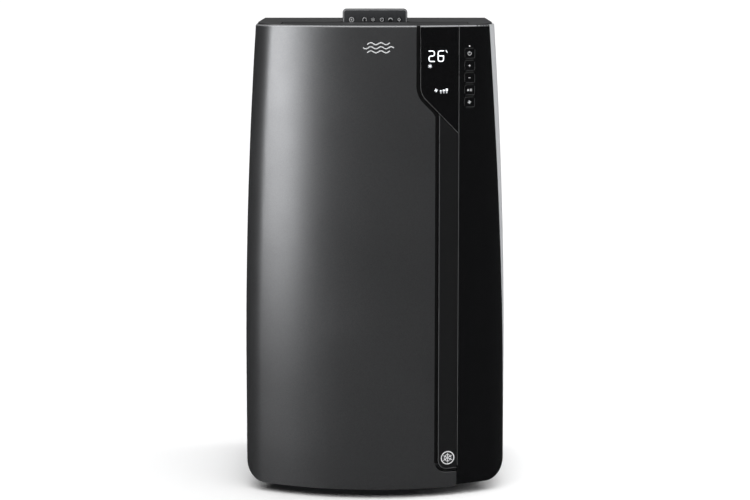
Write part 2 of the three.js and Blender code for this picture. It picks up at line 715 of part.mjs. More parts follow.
// The swivelling middle plate of a castor, with the stem at its own origin on the floor.
function castorFork() {
  const half = CASTOR_CHEEK / 2 - CLEAR;
  const top = TRAY_Z - 6;
  const outline = [
    ...arc(CASTOR_TRAIL, WHEEL_RADIUS, 8, -90, 60, 6),
    [WHEEL_RADIUS - 2, top],
    [-9, top],
    [-9, top - 8],
    ...arc(CASTOR_TRAIL, WHEEL_RADIUS, 8, 170, 270, 3).slice(0, -1),
  ];
  const plate = prismX(outline, -half, half);
  const hood = rodZ(13, 0, 0, top - 2.8, top, 16);
  const stem = rodZ(5, 0, 0, top - 1, TRAY_Z + 13, 12);
  const axleHole = rodX(3 + 0.3, CASTOR_TRAIL, WHEEL_RADIUS, -WIDTH, WIDTH, 10);
  return join([plate, hood, stem]).subtract(axleHole);
}

// A pair of wheels fixed on one axle, about the axle's middle.
function castorWheels() {
  const inner = CASTOR_CHEEK / 2;
  const outer = inner + WHEEL_WIDTH;
  const rims = [-1, 1].map((side) => {
    const span = side > 0 ? [inner, outer] : [-outer, -inner];
    const rim = rodX(WHEEL_RADIUS, 0, 0, ...span, 22);
    const dish = side > 0 ? [outer - 2.5, outer + 1] : [-outer - 1, -outer + 2.5];
    return rim.subtract(rodX(WHEEL_RADIUS - 6, 0, 0, ...dish, 14));
  });
  const axle = rodX(3, 0, 0, -outer + 1, outer - 1, 10);
  return join([...rims, axle]);
}

// Top cover, flap and dock.
const REMOTE_Y = RIDGE_Y + 5 + DOCK_CLEARANCE + REMOTE_THICKNESS / 2;
const REMOTE_BOTTOM = COVER_TOP + REMOTE_SHOWN - REMOTE_HEIGHT;
const DOCK_WALL = 1.5;
const FLAP_HINGE = { y: RIDGE_Y - 6, z: COVER_TOP - 4.5 };

// All that is under the cover's surface lowered by `lower`, down to `bottom`: up from the
// front edge to the ridge, level, then down the shoulder.
function underCover(lower, bottom) {
  const run = SHOULDER_RUN + 20;
  const low = COVER_TOP - lower;
  const outline = [
    [-DEPTH, PANEL_TOP - 0.5 - lower],
    [FRONT_Y + FRONT_TAPER, PANEL_TOP - 0.5 - lower],
    [RIDGE_Y, low],
    [SHOULDER_Y, low],
    [SHOULDER_Y + run, low - (run * SHOULDER_DROP) / SHOULDER_RUN],
    [SHOULDER_Y + run, bottom],
    [-DEPTH, bottom],
  ];
  return prismX(outline.reverse(), -WIDTH, WIDTH);
}

// The outlet's plan: straight at the ridge and ends, and following the bow at the front.
function outletPlan(half, gap, rear) {
  const bow = FRONT_RADIUS - WALL - SLIT - gap;
  const centreY = section(PANEL_TOP).bowY;
  const steps = 10;
  const edge = [];
  for (let k = 0; k <= steps; k++) {
    const x = -half + (2 * half * k) / steps;
    edge.push([x, centreY - Math.sqrt(bow ** 2 - x ** 2)]);
  }
  return [...edge, [half, rear], [-half, rear]];
}

function topCover() {
  const bottom = PANEL_TOP - SHOULDER_DROP - 40;
  const inset = WALL + SLIT;
  const outer = fullBody(inset, bottom, PANEL_TOP + 8).intersect(underCover(0, bottom));
  const hollow = fullBody(inset + THIN, bottom - 5, PANEL_TOP + 6);
  const core = hollow.intersect(underCover(WALL, bottom - 10));
  const skirt = cut(outer, [core, underCover(COVER_SKIRT, bottom - 20)]);
  const opening = prismZ(outletPlan(OUTLET_HALF + CLEAR, 2, RIDGE_Y + CLEAR), bottom, ABOVE);
  const half = REMOTE_WIDTH / 2 + DOCK_CLEARANCE + DOCK_WALL + CLEAR;
  const deep = REMOTE_THICKNESS / 2 + DOCK_CLEARANCE + DOCK_WALL + CLEAR;
  const dockHole = block(-half, half, REMOTE_Y - deep, REMOTE_Y + deep, bottom, ABOVE);
  const ears = [-1, 1].map((side) => {
    const x = side * (OUTLET_HALF + 4);
    const { y, z } = FLAP_HINGE;
    return block(x - 3, x + 3, y - 7, y + 9, z - 7, PANEL_TOP - 0.5);
  });
  const pinHole = rodX(
    FLAP_PIN_RADIUS + 0.3,
    FLAP_HINGE.y,
    FLAP_HINGE.z,
    -OUTLET_HALF - 20,
    OUTLET_HALF + 20,
    16,
  );
  const plate = cut(skirt, [opening, dockHole]);
  return join([plate, ...ears]).subtract(pinHole);
}

// The outlet flap, hinged along its rear edge on two pins.
function outletFlap() {
  const plan = outletPlan(OUTLET_HALF - CLEAR, 3, RIDGE_Y - 2.2);
  const low = COVER_TOP - 45;
  const slab = prismZ(plan, low, PANEL_TOP + 8);
  const under = slab.intersect(underCover(0.4, low - 50));
  const plate = under.subtract(underCover(FLAP_THICKNESS, low - 60));
  const { y, z } = FLAP_HINGE;
  const barrel = rodX(4, y, z, -OUTLET_HALF + 2, OUTLET_HALF - 2, 12);
  const pins = rodX(FLAP_PIN_RADIUS, y, z, -OUTLET_HALF - 10, OUTLET_HALF + 10, 12);
  return join([plate, barrel.intersect(under), pins]);
}

// The duct from the blower up to the outlet.
const SCROLL_RISE = 90; // from a blower's axis to the top of its scroll
const COOL_LIFT = 4; // the upper blower's axis above the middle of its grille
const COOL_Z = (UPPER_GRILLE_Z[0] + UPPER_GRILLE_Z[1]) / 2 + COOL_LIFT;
const COOL = { x: 10, z: COOL_Z, start: 84, end: 118, y: [-50, 40] };
const HOT = { x: 30, z: 196, start: 84, end: 118, y: [20, 100] };
const DUCT_FLOOR = COOL.z + SCROLL_RISE + THIN;
const LIP_Y = RIDGE_Y - 32; // the duct turns up here, behind the display board
const LIP_DROP = [20, 26, 52]; // underside of the duct in front, at its lip and behind the lip
const DUCT_REAR_DROP = 48; // its back meets its upper plate this far below the panels' top
const DUCT_REAR_RISE = 16; // upright part at its rear end
const MOUTH_ANGLE = 80; // degrees above level where a scroll's spiral starts
function ductProfile(grow) {
  const top = PANEL_TOP - COVER_SKIRT - 3 + (grow ? 0 : 5);
  const rear = RIDGE_Y - 4 + grow;
  const [y0, y1] = COOL.y;
  return [
    [y0 - grow, DUCT_FLOOR - grow],
    [y1 + grow, DUCT_FLOOR - grow],
    [y1 + grow, DUCT_FLOOR + DUCT_REAR_RISE + grow],
    [rear, PANEL_TOP - DUCT_REAR_DROP + grow],
    [rear, top],
    [FRONT_Y, top],
    [FRONT_Y, PANEL_TOP - LIP_DROP[0] - grow],
    [LIP_Y - grow, PANEL_TOP - LIP_DROP[1] - grow],
    [LIP_Y - grow, PANEL_TOP - LIP_DROP[2] - grow],
  ];
}

function outletDuct() {
  const half = OUTLET_HALF - 4;
  const z0 = DUCT_FLOOR - 20;
  const room = fullBody(FRAME_IN + CLEAR, z0, PANEL_TOP - 1);
  const outer = prismX(ductProfile(THIN), -half - THIN, half + THIN).intersect(room);
  const hollow = fullBody(FRAME_IN + CLEAR + THIN, z0, PANEL_TOP);
  const inner = prismX(ductProfile(0), -half, half).intersect(hollow);
  const [x0, x1] = [COOL.x - COOL.end, COOL.x + COOL.start * Math.cos(MOUTH_ANGLE * RAD)];
  const throat = block(x0, x1, COOL.y[0] + THIN, COOL.y[1] - THIN, z0, DUCT_FLOOR + 2);
  return cut(outer, [inner, throat]);
}

// Upright vanes in the mouth of the duct, between two bars.
const VANE_COUNT = 13;
function outletGuard() {
  const half = OUTLET_HALF - 5.5;
  const top = PANEL_TOP - COVER_SKIRT - 4;
  const bottom = top - 18;
  const rear = RIDGE_Y - 4 - CLEAR;
  const front = LIP_Y + CLEAR;
  const bars = [block(-half, half, rear - 2, rear, bottom, top)];
  bars.push(block(-half, half, front, front + 2, bottom, top));
  for (let k = 0; k < VANE_COUNT; k++) {
    const x = -half + 2 + ((2 * half - 4) * k) / (VANE_COUNT - 1);
    bars.push(block(x - 0.8, x + 0.8, front + 1, rear - 1, bottom + 1, top - 1));
  }
  return join(bars);
}

function remoteDock() {
  const half = REMOTE_WIDTH / 2 + DOCK_CLEARANCE;
  const deep = REMOTE_THICKNESS / 2 + DOCK_CLEARANCE;
  const floor = REMOTE_BOTTOM - 1;
  const [y0, y1] = [REMOTE_Y - deep, REMOTE_Y + deep];
  const wall = DOCK_WALL;
  const top = COVER_TOP - 0.4;
  const outer = block(-half - wall, half + wall, y0 - wall, y1 + wall, floor - wall, top);
  return outer.subtract(block(-half, half, y0, y1, floor, ABOVE));
}

// The remote control, lying on its long side, with recesses for its keys in front.
const REMOTE_RECESS = 1.8;
const BATTERY_HALF = 31.6;
const BATTERY_LOW = 6.4; // lower edge of the battery cover above the remote's
function remoteBody() {
  const half = REMOTE_WIDTH / 2;
  const [y0, y1] = [REMOTE_Y - REMOTE_THICKNESS / 2, REMOTE_Y + REMOTE_THICKNESS / 2];
  const top = REMOTE_BOTTOM + REMOTE_HEIGHT;
  const body = prismY(roundedRect(-half, half, REMOTE_BOTTOM, top, 5, 4), y0, y1);
  const wells = REMOTE_KEY_X.map((x) =>
    rodY(REMOTE_KEY_RADIUS + 0.4, x, COVER_TOP + REMOTE_KEY_Z, y0 - 1, y0 + REMOTE_RECESS, 14),
  );
  const [half1, low] = [BATTERY_HALF + 0.4, REMOTE_BOTTOM + BATTERY_LOW - 0.4];
  const bay = block(-half1, half1, y1 - 1.6, y1 + 1, low, top + 1);
  return cut(body, [...wells, bay]);
}

// The battery cover slides up out of the remote's back.
function batteryCover() {
  const y1 = REMOTE_Y + REMOTE_THICKNESS / 2;
  const [low, top] = [REMOTE_BOTTOM + BATTERY_LOW, REMOTE_BOTTOM + REMOTE_HEIGHT];
  return block(-BATTERY_HALF, BATTERY_HALF, y1 - 1.2, y1, low, top);
}

// A remote key about its own centre, facing -Y.
function remoteKey() {
  const proud = 0.6;
  const back = REMOTE_RECESS - REMOTE_KEY_TRAVEL - 0.3;
  return rodY(REMOTE_KEY_RADIUS, 0, 0, -proud, back, 14);
}

// Blowers.
// The scroll round a blower wheel, seen from the front, with its outlet going straight up.
function scrollOutline({ x, z, start, end }, top, grow) {
  const steps = 18;
  const spiral = [];
  for (let k = 0; k <= steps; k++) {
    const share = k / steps;
    const angle = (MOUTH_ANGLE - (180 + MOUTH_ANGLE) * share) * RAD;
    const radius = start + (end - start) * share + grow;
    spiral.push([x + radius * Math.cos(angle), z + radius * Math.sin(angle)]);
  }
  const right = x + start * Math.cos(MOUTH_ANGLE * RAD) + grow;
  return [...spiral, [x - end - grow, top], [right, top]].reverse();
}

function scrollHousing(fan, top, mouth) {
  const [y0, y1] = fan.y;
  const outer = prismY(scrollOutline(fan, top, THIN), y0, y1);
  const inner = prismY(scrollOutline(fan, top + 5, 0), y0 + THIN, y1 - THIN);
  const inlet = rodY(mouth, fan.x, fan.z, y1 - THIN - 1, y1 + 5, 32);
  const shaftHole = rodY(9, fan.x, fan.z, y0 - 5, y0 + THIN + 1, 16);
  return cut(outer, [inner, inlet, shaftHole]);
}

// A blower wheel with its shaft, about the middle of its back plate, axis along Y.
function blowerWheel(radius, width) {
  const blades = 13;
  const bladeDepth = radius * 0.18;
  const plate = rodY(radius, 0, 0, 0, 2, 30);
  const hub = rodY(12, 0, 0, -1, 26, 14);
  const shaft = rodY(4, 0, 0, -26, 20, 12);
  const hoop = rodY(radius, 0, 0, width - 3, width, 30).subtract(
    rodY(radius - bladeDepth, 0, 0, width - 5, width + 5, 30),
  );
  const fins = [];
  for (let k = 0; k < blades; k++) {
    const fin = new THREE.BoxGeometry(bladeDepth, width - 2, 1.4);
    fin.rotateY(35 * RAD);
    fin.translate(radius - bladeDepth * 0.56, width / 2, 0);
    fin.rotateY((2 * Math.PI * k) / blades);
    fins.push(solid(fin));
  }
  const limit = rodY(radius - 0.2, 0, 0, 0, width, 30);
  return join([plate, hub, shaft, hoop, join(fins).intersect(limit)]);
}

// A fan motor behind a scroll, about the same point as the wheel, axis along Y.
function fanMotor(radius, length) {
  const can = rodY(radius, 0, 0, -length, 0, 28);
  const neck = rodY(radius * 0.45, 0, 0, -length - 5, -length + 1, 20);
  const flange = block(-radius - 8, radius + 8, -5, -2, -8, 8);
  return join([can, neck, flange]).subtract(rodY(4.4, 0, 0, -24, 5, 16));
}

// Cooling circuit.
// A finned coil between header plates, with return bends standing out of them.
const BEND_COUNT = 4;
const BEND_TUBE = 4;
const COIL_HALF = GRILLE_HALF - 22;
const COIL_Y = [INNER_BACK - COIL_GAP - COIL_THICKNESS, INNER_BACK - COIL_GAP];
function coil([z0, z1]) {
  const [y0, y1] = COIL_Y;
  const core = block(-COIL_HALF, COIL_HALF, y0, y1, z0 + 4, z1 - 4);
  const pitch = (z1 - z0 - 30) / BEND_COUNT;
  const pieces = [core];
  for (const side of [-1, 1]) {
    const x = side * COIL_HALF;
    pieces.push(block(x - 1, x + 1, y0 - 3, y1 + 3, z0 + 1, z1 - 1));
    for (let k = 0; k < BEND_COUNT; k++) {
      const z = z0 + 15 + (k + 0.5) * pitch;
      pieces.push(returnBend(side, (y0 + y1) / 2, z, pitch / 4));
    }
  }
  return join(pieces);
}

function returnBend(side, y, z, radius) {
  const points = [[COIL_HALF - 2, -radius]];
  for (let k = 0; k <= 4; k++) {
    const angle = (Math.PI * k) / 4;
    points.push([COIL_HALF + 4 + radius * Math.sin(angle), -radius * Math.cos(angle)]);
  }
  points.push([COIL_HALF - 2, radius]);
  return pipe(points.map(([x, dz]) => [side * x, y, z + dz]), BEND_TUBE, 7, 5);
}

// A bent pipe through the given points.
function pipe(points, radius, steps, sides) {
  const path = new THREE.CatmullRomCurve3(points.map((p) => new THREE.Vector3(...p)));
  const ring = arc(0, 0, radius, 0, 360 - 360 / sides, sides - 1);
  return solid(new THREE.ExtrudeGeometry(shapeOf(ring), { steps, extrudePath: path }));
}

const COMPRESSOR = { x: -115, y: -80, radius: 52, height: 188, z: TRAY_Z + 22 };
function compressor() {
  const { x, y, radius, height, z } = COMPRESSOR;
  const can = turned([
    [0, 0],
    [radius - 6, 0],
    [radius, 10],
    [radius, height - 22],
    [radius - 8, height - 6],
    [radius - 18, height],
    [0, height],
  ], 18).translate([x, y, z]);
  const foot = radius - 8;
  const plate = block(x - foot - 6, x + foot + 6, y - foot - 6, y + foot + 6, z - 2, z + 1);
  const pads = [-1, 1].flatMap((i) =>
    [-1, 1].map((k) => {
      const [padX, padY] = [x + i * foot, y + k * foot];
      return rodZ(7, padX, padY, TRAY_Z + WALL + CLEAR, z - 1, 8);
    }),
  );
  return join([can, plate, ...pads]);
}

const COMPRESSOR_TOP = COMPRESSOR.z + COMPRESSOR.height + CLEAR;
const PIPE_HOLE = { x: -155, y: -45 };
const coilPort = (z) => {
  const [x, y] = [-COIL_HALF - 2, (COIL_Y[0] + COIL_Y[1]) / 2];
  return [[x - 16, y, z], [x, y, z]];
};

function suctionLine() {
  const { x, y } = PIPE_HOLE;
  const [startX, startY] = [COMPRESSOR.x + 20, COMPRESSOR.y - 15];
  const points = [
    [startX, startY, COMPRESSOR_TOP],
    [startX, startY, COMPRESSOR_TOP + 60],
    [x + 15, y - 15, BULKHEAD_Z - 60],
    [x, y, BULKHEAD_Z - 20],
    [x, y, BULKHEAD_Z + 24],
    [x, y + 75, BULKHEAD_Z + 38],
    [x + 5, y + 165, BULKHEAD_Z + 30],
    ...coilPort(UPPER_GRILLE_Z[0] + 9.5),
  ];
  return pipe(points, 5, 26, 6);
}

function dischargeLine() {
  const { x, y } = COMPRESSOR;
  const points = [
    [x, y, COMPRESSOR_TOP],
    [x, y, COMPRESSOR_TOP + 22],
    [x - 35, y + 40, COMPRESSOR_TOP + 36],
    [x - 55, y + 120, COMPRESSOR_TOP - 10],
    [x - 45, y + 190, LOWER_GRILLE_Z[0] + 60],
    ...coilPort(LOWER_GRILLE_Z[0] + 9),
  ];
  return pipe(points, 4, 24, 6);
}

// The plate between the two halves, which catches the water from the upper coil.
function bulkheadTray() {
  const outer = fullBody(TRAY_INSET, BULKHEAD_Z, BULKHEAD_Z + 10);
  const hollow = fullBody(TRAY_INSET + THIN, BULKHEAD_Z + THIN, BULKHEAD_Z + 20);
  const { x, y } = PIPE_HOLE;
  return cut(outer, [hollow, rodZ(12, x, y, 0, PANEL_TOP, 20)]);
}

// Exhaust, boards and fittings.
const WHEEL = { radius: 76, gap: 3, width: 68 };
const MOTOR = { radius: 34, length: 52, gap: 3 };

function exhaustDuct() {
  const [x0, x1] = [HOT.x - HOT.end - THIN, EXHAUST_RADIUS + 6];
  const [y0, y1] = [HOT.y[0], INNER_BACK - 2];
  const [z0, z1] = [HOT.z + SCROLL_RISE + CLEAR, BULKHEAD_Z - 6];
  const outer = block(x0, x1, y0, y1, z0, z1);
  const inner = block(x0 + THIN, x1 - THIN, y0 + THIN, y1 - THIN, z0 + THIN, z1 - THIN);
  const right = HOT.x + HOT.start * Math.cos(MOUTH_ANGLE * RAD);
  const throat = block(x0 + THIN, right, y0 + THIN, HOT.y[1] - THIN, z0 - 5, z0 + 5);
  const mouth = rodY(EXHAUST_RADIUS, 0, EXHAUST_Z, y1 - 5, y1 + 5, 32);
  return cut(outer, [inner, throat, mouth]);
}

const BOARD_END = 38; // degrees round the corner where the board behind the keys ends
function displayBoard() {
  const [z0, z1] = BAY_Z;
  const from = frontAt(WINDOW_LEFT + BAY_MARGIN + 2);
  return wallBetween(from, cornerAt(BOARD_END), WALL + 4.4, WALL + 6, z0 - 2, z1 - 2);
}

function controlBox() {
  const [x0, x1] = CONTROL_BOX_X;
  const [y0, y1] = CONTROL_BOX_INSET.map((inset) => FRONT_Y + inset);
  const [z0, z1] = CONTROL_BOX_Z;
  const shell = block(x0, x1, y0, y1, z0, z1);
  const hollow = block(x0 + THIN, x1 - THIN, y0 + THIN, y1 - THIN, z0 + THIN, z1 - THIN);
  const glands = [-1, 0, 1].map((k) => {
    const x = (x0 + x1) / 2 + k * GLAND_PITCH;
    return rodZ(6, x, (y0 + y1) / 2, z1 - 5, z1 + 5, 12);
  });
  return cut(shell, [hollow, ...glands]);
}

// The small motor that turns the flap: its shaft is off centre, on the flap's pin.
function flapMotor() {
  const { y, z } = FLAP_HINGE;
  const x = OUTLET_HALF + 11.5;
  const can = rodX(8, y, z - 8.5, x, x + 15, 20);
  const lugs = block(x, x + 1.5, y - 14, y + 14, z - 12, z - 5);
  return join([can, lugs]);
}

function drainPlug() {
  const { x, z, radius } = DRAIN;
  const cap = rodY(radius + 3, x, z, BACK_Y + CLEAR, BACK_Y + SPIGOT_LENGTH - 1, 20);
  const socket = rodY(radius + CLEAR, x, z, BACK_Y, BACK_Y + 3.5, 20);
  const stopper = rodY(radius - 2 - CLEAR, x, z, BACK_Y - 4, BACK_Y + 5, 16);
  return cap.subtract(socket).add(stopper);
}

function waterFloat() {
  const { x, y } = FLOAT;
  const low = TRAY_Z + WALL + CLEAR;
  return rodZ(14, x, y, low, low + 12, 20).subtract(rodZ(3 + CLEAR, x, y, 0, 2 * low, 16));
}

// Materials.
const finish = (color, roughness, metalness) =>
  new THREE.MeshStandardMaterial({ color, roughness, metalness });
const MATERIALS = {
  graphite: () => finish(0x5a5d61, 0.38, 0.75),
  glossBlack: () => finish(0x0c0d0f, 0.08, 0),
  satinBlack: () => finish(0x1c1d1f, 0.45, 0.2),
  silver: () => finish(0xb9bcbf, 0.4, 0.4),
  coverGrey: () => finish(0x3f4144, 0.5, 0.1),
  flapGrey: () => finish(0x2c2d30, 0.45, 0.1),
  mattBlack: () => finish(0x17181a, 0.75, 0),
  remoteGrey: () => finish(0x4a4c50, 0.4, 0.3),
  keyWhite: () => finish(0xd9dcde, 0.5, 0),
  tread: () => finish(0x232426, 0.85, 0),
  zinc: () => finish(0xa3a8ad, 0.45, 0.85),
  fins: () => finish(0xb4bcc2, 0.4, 0.85),
  copper: () => finish(0xb06a45, 0.35, 0.9),
  enamel: () => finish(0x1a1b1d, 0.35, 0.1),
  foam: () => finish(0xd6d8d4, 0.8, 0),
  board: () => finish(0x1f4a34, 0.55, 0),
  filterMesh: () => finish(0x3d4246, 0.8, 0),
};

// The assembly.
const unit = new THREE.Group();
unit.name = "portable_air_conditioner";

function place(name, material, body, at = [0, 0, 0]) {
  const mesh = new THREE.Mesh(geometryOf(body), MATERIALS[material]());
  mesh.name = name;
  mesh.position.set(...at);
  unit.add(mesh);
}

place("base_tray", "zinc", baseTray());
place("front_panel", "graphite", frontPanel());
place("display_window", "glossBlack", displayWindow());
place("accent_strip", "satinBlack", accentStrip());
place("key_panel", "glossBlack", keyPanel());
place("front_frame", "mattBlack", frontFrame());
place("side_panel_left", "silver", leftSide());
place("side_panel_right", "silver", rightSide());
place("back_panel", "silver", backPanel());
place("handle_cup_left", "silver", handleCup(-1));
place("handle_cup_right", "silver", handleCup(1));
place("intake_grille", "silver", grille(UPPER_GRILLE_Z, WALL));
place("air_filter", "filterMesh", airFilter());
place("condenser_grille", "silver", grille(LOWER_GRILLE_Z, WALL));
place("exhaust_collar", "silver", exhaustCollar());
place("cord_bush", "mattBlack", cordBush());
place("top_cover", "coverGrey", topCover());
place("outlet_flap", "flapGrey", outletFlap());
place("outlet_duct", "foam", outletDuct());
place("outlet_guard", "mattBlack", outletGuard());
place("flap_motor", "zinc", flapMotor());
place("remote_dock", "mattBlack", remoteDock());
place("remote_body", "remoteGrey", remoteBody());
place("remote_battery_cover", "remoteGrey", batteryCover());
REMOTE_KEY_X.forEach((x, k) => {
  const y = REMOTE_Y - REMOTE_THICKNESS / 2;
  place(`remote_key_${k + 1}`, "keyWhite", remoteKey(), [x, y, COVER_TOP + REMOTE_KEY_Z]);
});
["power", "warmer", "cooler", "mode", "fan"].forEach((use, k) => {
  place(`key_${use}`, "glossBlack", panelKey(k));
});
place("display_board", "board", displayBoard());
place("control_box", "zinc", controlBox());
for (const [name, fan] of Object.entries({ cool: COOL, hot: HOT })) {
  const { x, z } = fan;
  const [y0] = fan.y;
  const rear = y0 + THIN + WHEEL.gap;
  place(`${name}_scroll`, "foam", scrollHousing(fan, fan.z + SCROLL_RISE, WHEEL.radius - 10));
  place(`${name}_blower_wheel`, "satinBlack", blowerWheel(WHEEL.radius, WHEEL.width), [x, rear, z]);
  place(`${name}_fan_motor`, "zinc", fanMotor(MOTOR.radius, MOTOR.length), [x, y0 - MOTOR.gap, z]);
}
place("exhaust_duct", "foam", exhaustDuct());
place("evaporator_coil", "fins", coil(UPPER_GRILLE_Z));
place("condenser_coil", "fins", coil(LOWER_GRILLE_Z));
place("compressor", "enamel", compressor());
place("suction_line", "copper", suctionLine());
place("discharge_line", "copper", dischargeLine());
place("bulkhead_tray", "foam", bulkheadTray());
place("drain_plug", "mattBlack", drainPlug());
place("water_float", "keyWhite", waterFloat());
castorPlaces().forEach(([x, y], k) => {
  const corner = ["front_left", "front_right", "rear_left", "rear_right"][k];
  place(`castor_fork_${corner}`, "mattBlack", castorFork(), [x, y, 0]);
  const axle = [x, y + CASTOR_TRAIL, WHEEL_RADIUS];
  place(`castor_wheels_${corner}`, "tread", castorWheels(), axle);
});

export default unit;
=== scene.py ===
import math
import bpy
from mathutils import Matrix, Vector


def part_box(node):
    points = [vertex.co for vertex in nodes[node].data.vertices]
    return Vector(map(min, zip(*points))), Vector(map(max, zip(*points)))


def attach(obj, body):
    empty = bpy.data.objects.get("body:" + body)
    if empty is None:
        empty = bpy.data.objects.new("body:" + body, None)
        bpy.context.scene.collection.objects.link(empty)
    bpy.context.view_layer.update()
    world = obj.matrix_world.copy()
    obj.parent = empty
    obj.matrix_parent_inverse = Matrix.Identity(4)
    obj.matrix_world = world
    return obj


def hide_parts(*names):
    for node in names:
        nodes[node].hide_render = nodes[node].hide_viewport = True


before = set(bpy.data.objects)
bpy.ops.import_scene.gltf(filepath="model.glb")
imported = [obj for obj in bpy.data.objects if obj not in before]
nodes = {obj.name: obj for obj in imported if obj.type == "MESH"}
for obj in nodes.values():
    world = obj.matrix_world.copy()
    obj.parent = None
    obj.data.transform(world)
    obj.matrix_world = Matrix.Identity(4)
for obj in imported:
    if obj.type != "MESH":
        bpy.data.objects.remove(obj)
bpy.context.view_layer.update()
print("frame loaded:", len(nodes), "nodes")

# the cabinet's own shape, in metres, the same as the solids it has to cover
cabinet = {
    "half": 0.207, "front": -0.195, "back": 0.187, "top": 0.742, "bottom": 0.014,
    "flareFrom": 0.2, "flarePower": 1.9, "sideTaper": 0.0195, "frontTaper": 0.012,
    "bowRadius": 0.356, "cornerRadius": 0.055, "rearRadius": 0.038, "footRadius": 0.031,
    "shoulderRun": 0.072, "shoulderDrop": 0.045, "wall": 0.003, "topRound": 0.0026,
}
seamX = 0.1298
slit = 0.0006
groove = 0.0058
wrapY = -0.066


# small helpers
def deselectAll():
    if bpy.context.object and bpy.context.object.mode != "OBJECT":
        bpy.ops.object.mode_set(mode="OBJECT")
    bpy.ops.object.select_all(action="DESELECT")


def makeActive(piece):
    deselectAll()
    piece.select_set(True)
    bpy.context.view_layer.objects.active = piece
    return piece


def applyPlace(piece):  # the place goes into the mesh, the object stays at the origin
    makeActive(piece)
    bpy.ops.object.transform_apply(location=True, rotation=True, scale=True)
    return piece


def applyModifiers(piece):
    makeActive(piece)
    for modifier in list(piece.modifiers):
        bpy.ops.object.modifier_apply(modifier=modifier.name)
    return piece


def smooth(piece, degrees=35):
    makeActive(piece)
    bpy.ops.object.shade_smooth_by_angle(angle=math.radians(degrees))
    return piece


def joinAll(pieces, name):
    deselectAll()
    for piece in pieces:
        piece.select_set(True)
    bpy.context.view_layer.objects.active = pieces[0]
    if len(pieces) > 1:
        bpy.ops.object.join()
    joined = bpy.context.object
    joined.name = joined.data.name = name
    return joined


def editAll(piece, *steps):  # each step works on the whole mesh
    makeActive(piece)
    bpy.ops.object.mode_set(mode="EDIT")
    for step in steps:
        bpy.ops.mesh.select_all(action="SELECT")
        step()
    bpy.ops.object.mode_set(mode="OBJECT")
    return piece


def mergeDoubles(piece, distance=2e-6):
    return editAll(piece, lambda: bpy.ops.mesh.remove_doubles(threshold=distance))


def dissolveFlat(piece, degrees):
    limit = math.radians(degrees)
    return editAll(piece, lambda: bpy.ops.mesh.dissolve_limited(angle_limit=limit))


def cutAway(piece, tool):  # the tool is used up
    makeActive(piece)
    cut = piece.modifiers.new("cut", "BOOLEAN")
    cut.operation = "DIFFERENCE"
    cut.solver = "EXACT"
    cut.object = tool
    applyModifiers(piece)
    bpy.data.objects.remove(tool)
    return piece


def outlineObject(name, dimensions, outlines):  # a curve with one closed spline per outline
    data = bpy.data.curves.new(name, "CURVE")
    data.dimensions = dimensions
    for outline in outlines:
        spline = data.splines.new("POLY")
        spline.points.add(len(outline) - 1)
        for point, place in zip(spline.points, outline):
            point.co = (*place, 1)
        spline.use_cyclic_u = True
    shape = bpy.data.objects.new(name, data)
    bpy.context.scene.collection.objects.link(shape)
    return shape


def toMesh(shape):
    name = shape.name
    makeActive(shape)
    bpy.ops.object.convert(target="MESH")
    made = bpy.context.object
    made.data.name = name
    return made


def boxCentre(nodeName):  # the node's two corners, and its middle seen along Y
    low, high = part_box(nodeName)
    return low, high, ((low.x + high.x) / 2, 0, (low.z + high.z) / 2)


def dress(piece, finishName):
    piece.data.materials.clear()
    piece.data.materials.append(look[finishName])


def finishPiece(piece, body, finishName, stands=()):
    dress(piece, finishName)
    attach(piece, body)
    if stands:
        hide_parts(*stands)
    return piece


def softCopy(nodeName, width):  # merged copy with soft edges
    source = nodes[nodeName]
    copy = bpy.data.objects.new(nodeName + "_part", source.data.copy())
    bpy.context.scene.collection.objects.link(copy)
    for key in list(copy.keys()):
        del copy[key]
    dissolveFlat(mergeDoubles(copy), 0.6)
    bevel = copy.modifiers.new("edges", "BEVEL")
    bevel.width = width
    bevel.segments = 2
    bevel.limit_method = "ANGLE"
    bevel.angle_limit = math.radians(40)
    bevel.harden_normals = False
    return smooth(applyModifiers(copy))


# shader groups that several finishes share
def newGroup(name, sockets):
    tree = bpy.data.node_groups.new(name, "ShaderNodeTree")
    for label, way, kind, value in sockets:
        socket = tree.interface.new_socket(name=label, in_out=way, socket_type=kind)
        if value is not None:
            socket.default_value = value
    return tree, tree.nodes.new("NodeGroupInput"), tree.nodes.new("NodeGroupOutput")


def addNode(tree, kind, **values):
    node = tree.nodes.new(kind)
    for key, value in values.items():
        setattr(node, key, value)
    return node


def feed(tree, node, values):  # each value is a number, or a socket to link from
    for label, value in values.items():
        if isinstance(value, bpy.types.NodeSocket):
            tree.links.new(value, node.inputs[label])
        else:
            node.inputs[label].default_value = value
    return node


def mathNode(tree, operation, first, second=0.5, clamp=False):
    node = addNode(tree, "ShaderNodeMath", operation=operation, use_clamp=clamp)
    return feed(tree, node, {0: first, 1: second}).outputs[0]


def noiseNode(tree, vector, scale, detail=3.0, rough=0.5):
    values = {"Vector": vector, "Scale": scale, "Detail": detail, "Roughness": rough}
    return feed(tree, addNode(tree, "ShaderNodeTexNoise"), values).outputs["Fac"]


def mapRange(tree, value, low, high, fromLow=0.0, fromHigh=1.0):
    values = {"Value": value, "From Min": fromLow, "From Max": fromHigh, "To Min": low,
              "To Max": high}
    return feed(tree, addNode(tree, "ShaderNodeMapRange"), values).outputs["Result"]


def objectPlace(tree):
    return addNode(tree, "ShaderNodeTexCoord").outputs["Object"]


def axesOf(tree, vector):
    return feed(tree, addNode(tree, "ShaderNodeSeparateXYZ"), {0: vector}).outputs


def scaledColor(tree, color, factor):
    scale = addNode(tree, "ShaderNodeVectorMath", operation="SCALE")
    return feed(tree, scale, {0: color, "Scale": factor}).outputs[0]


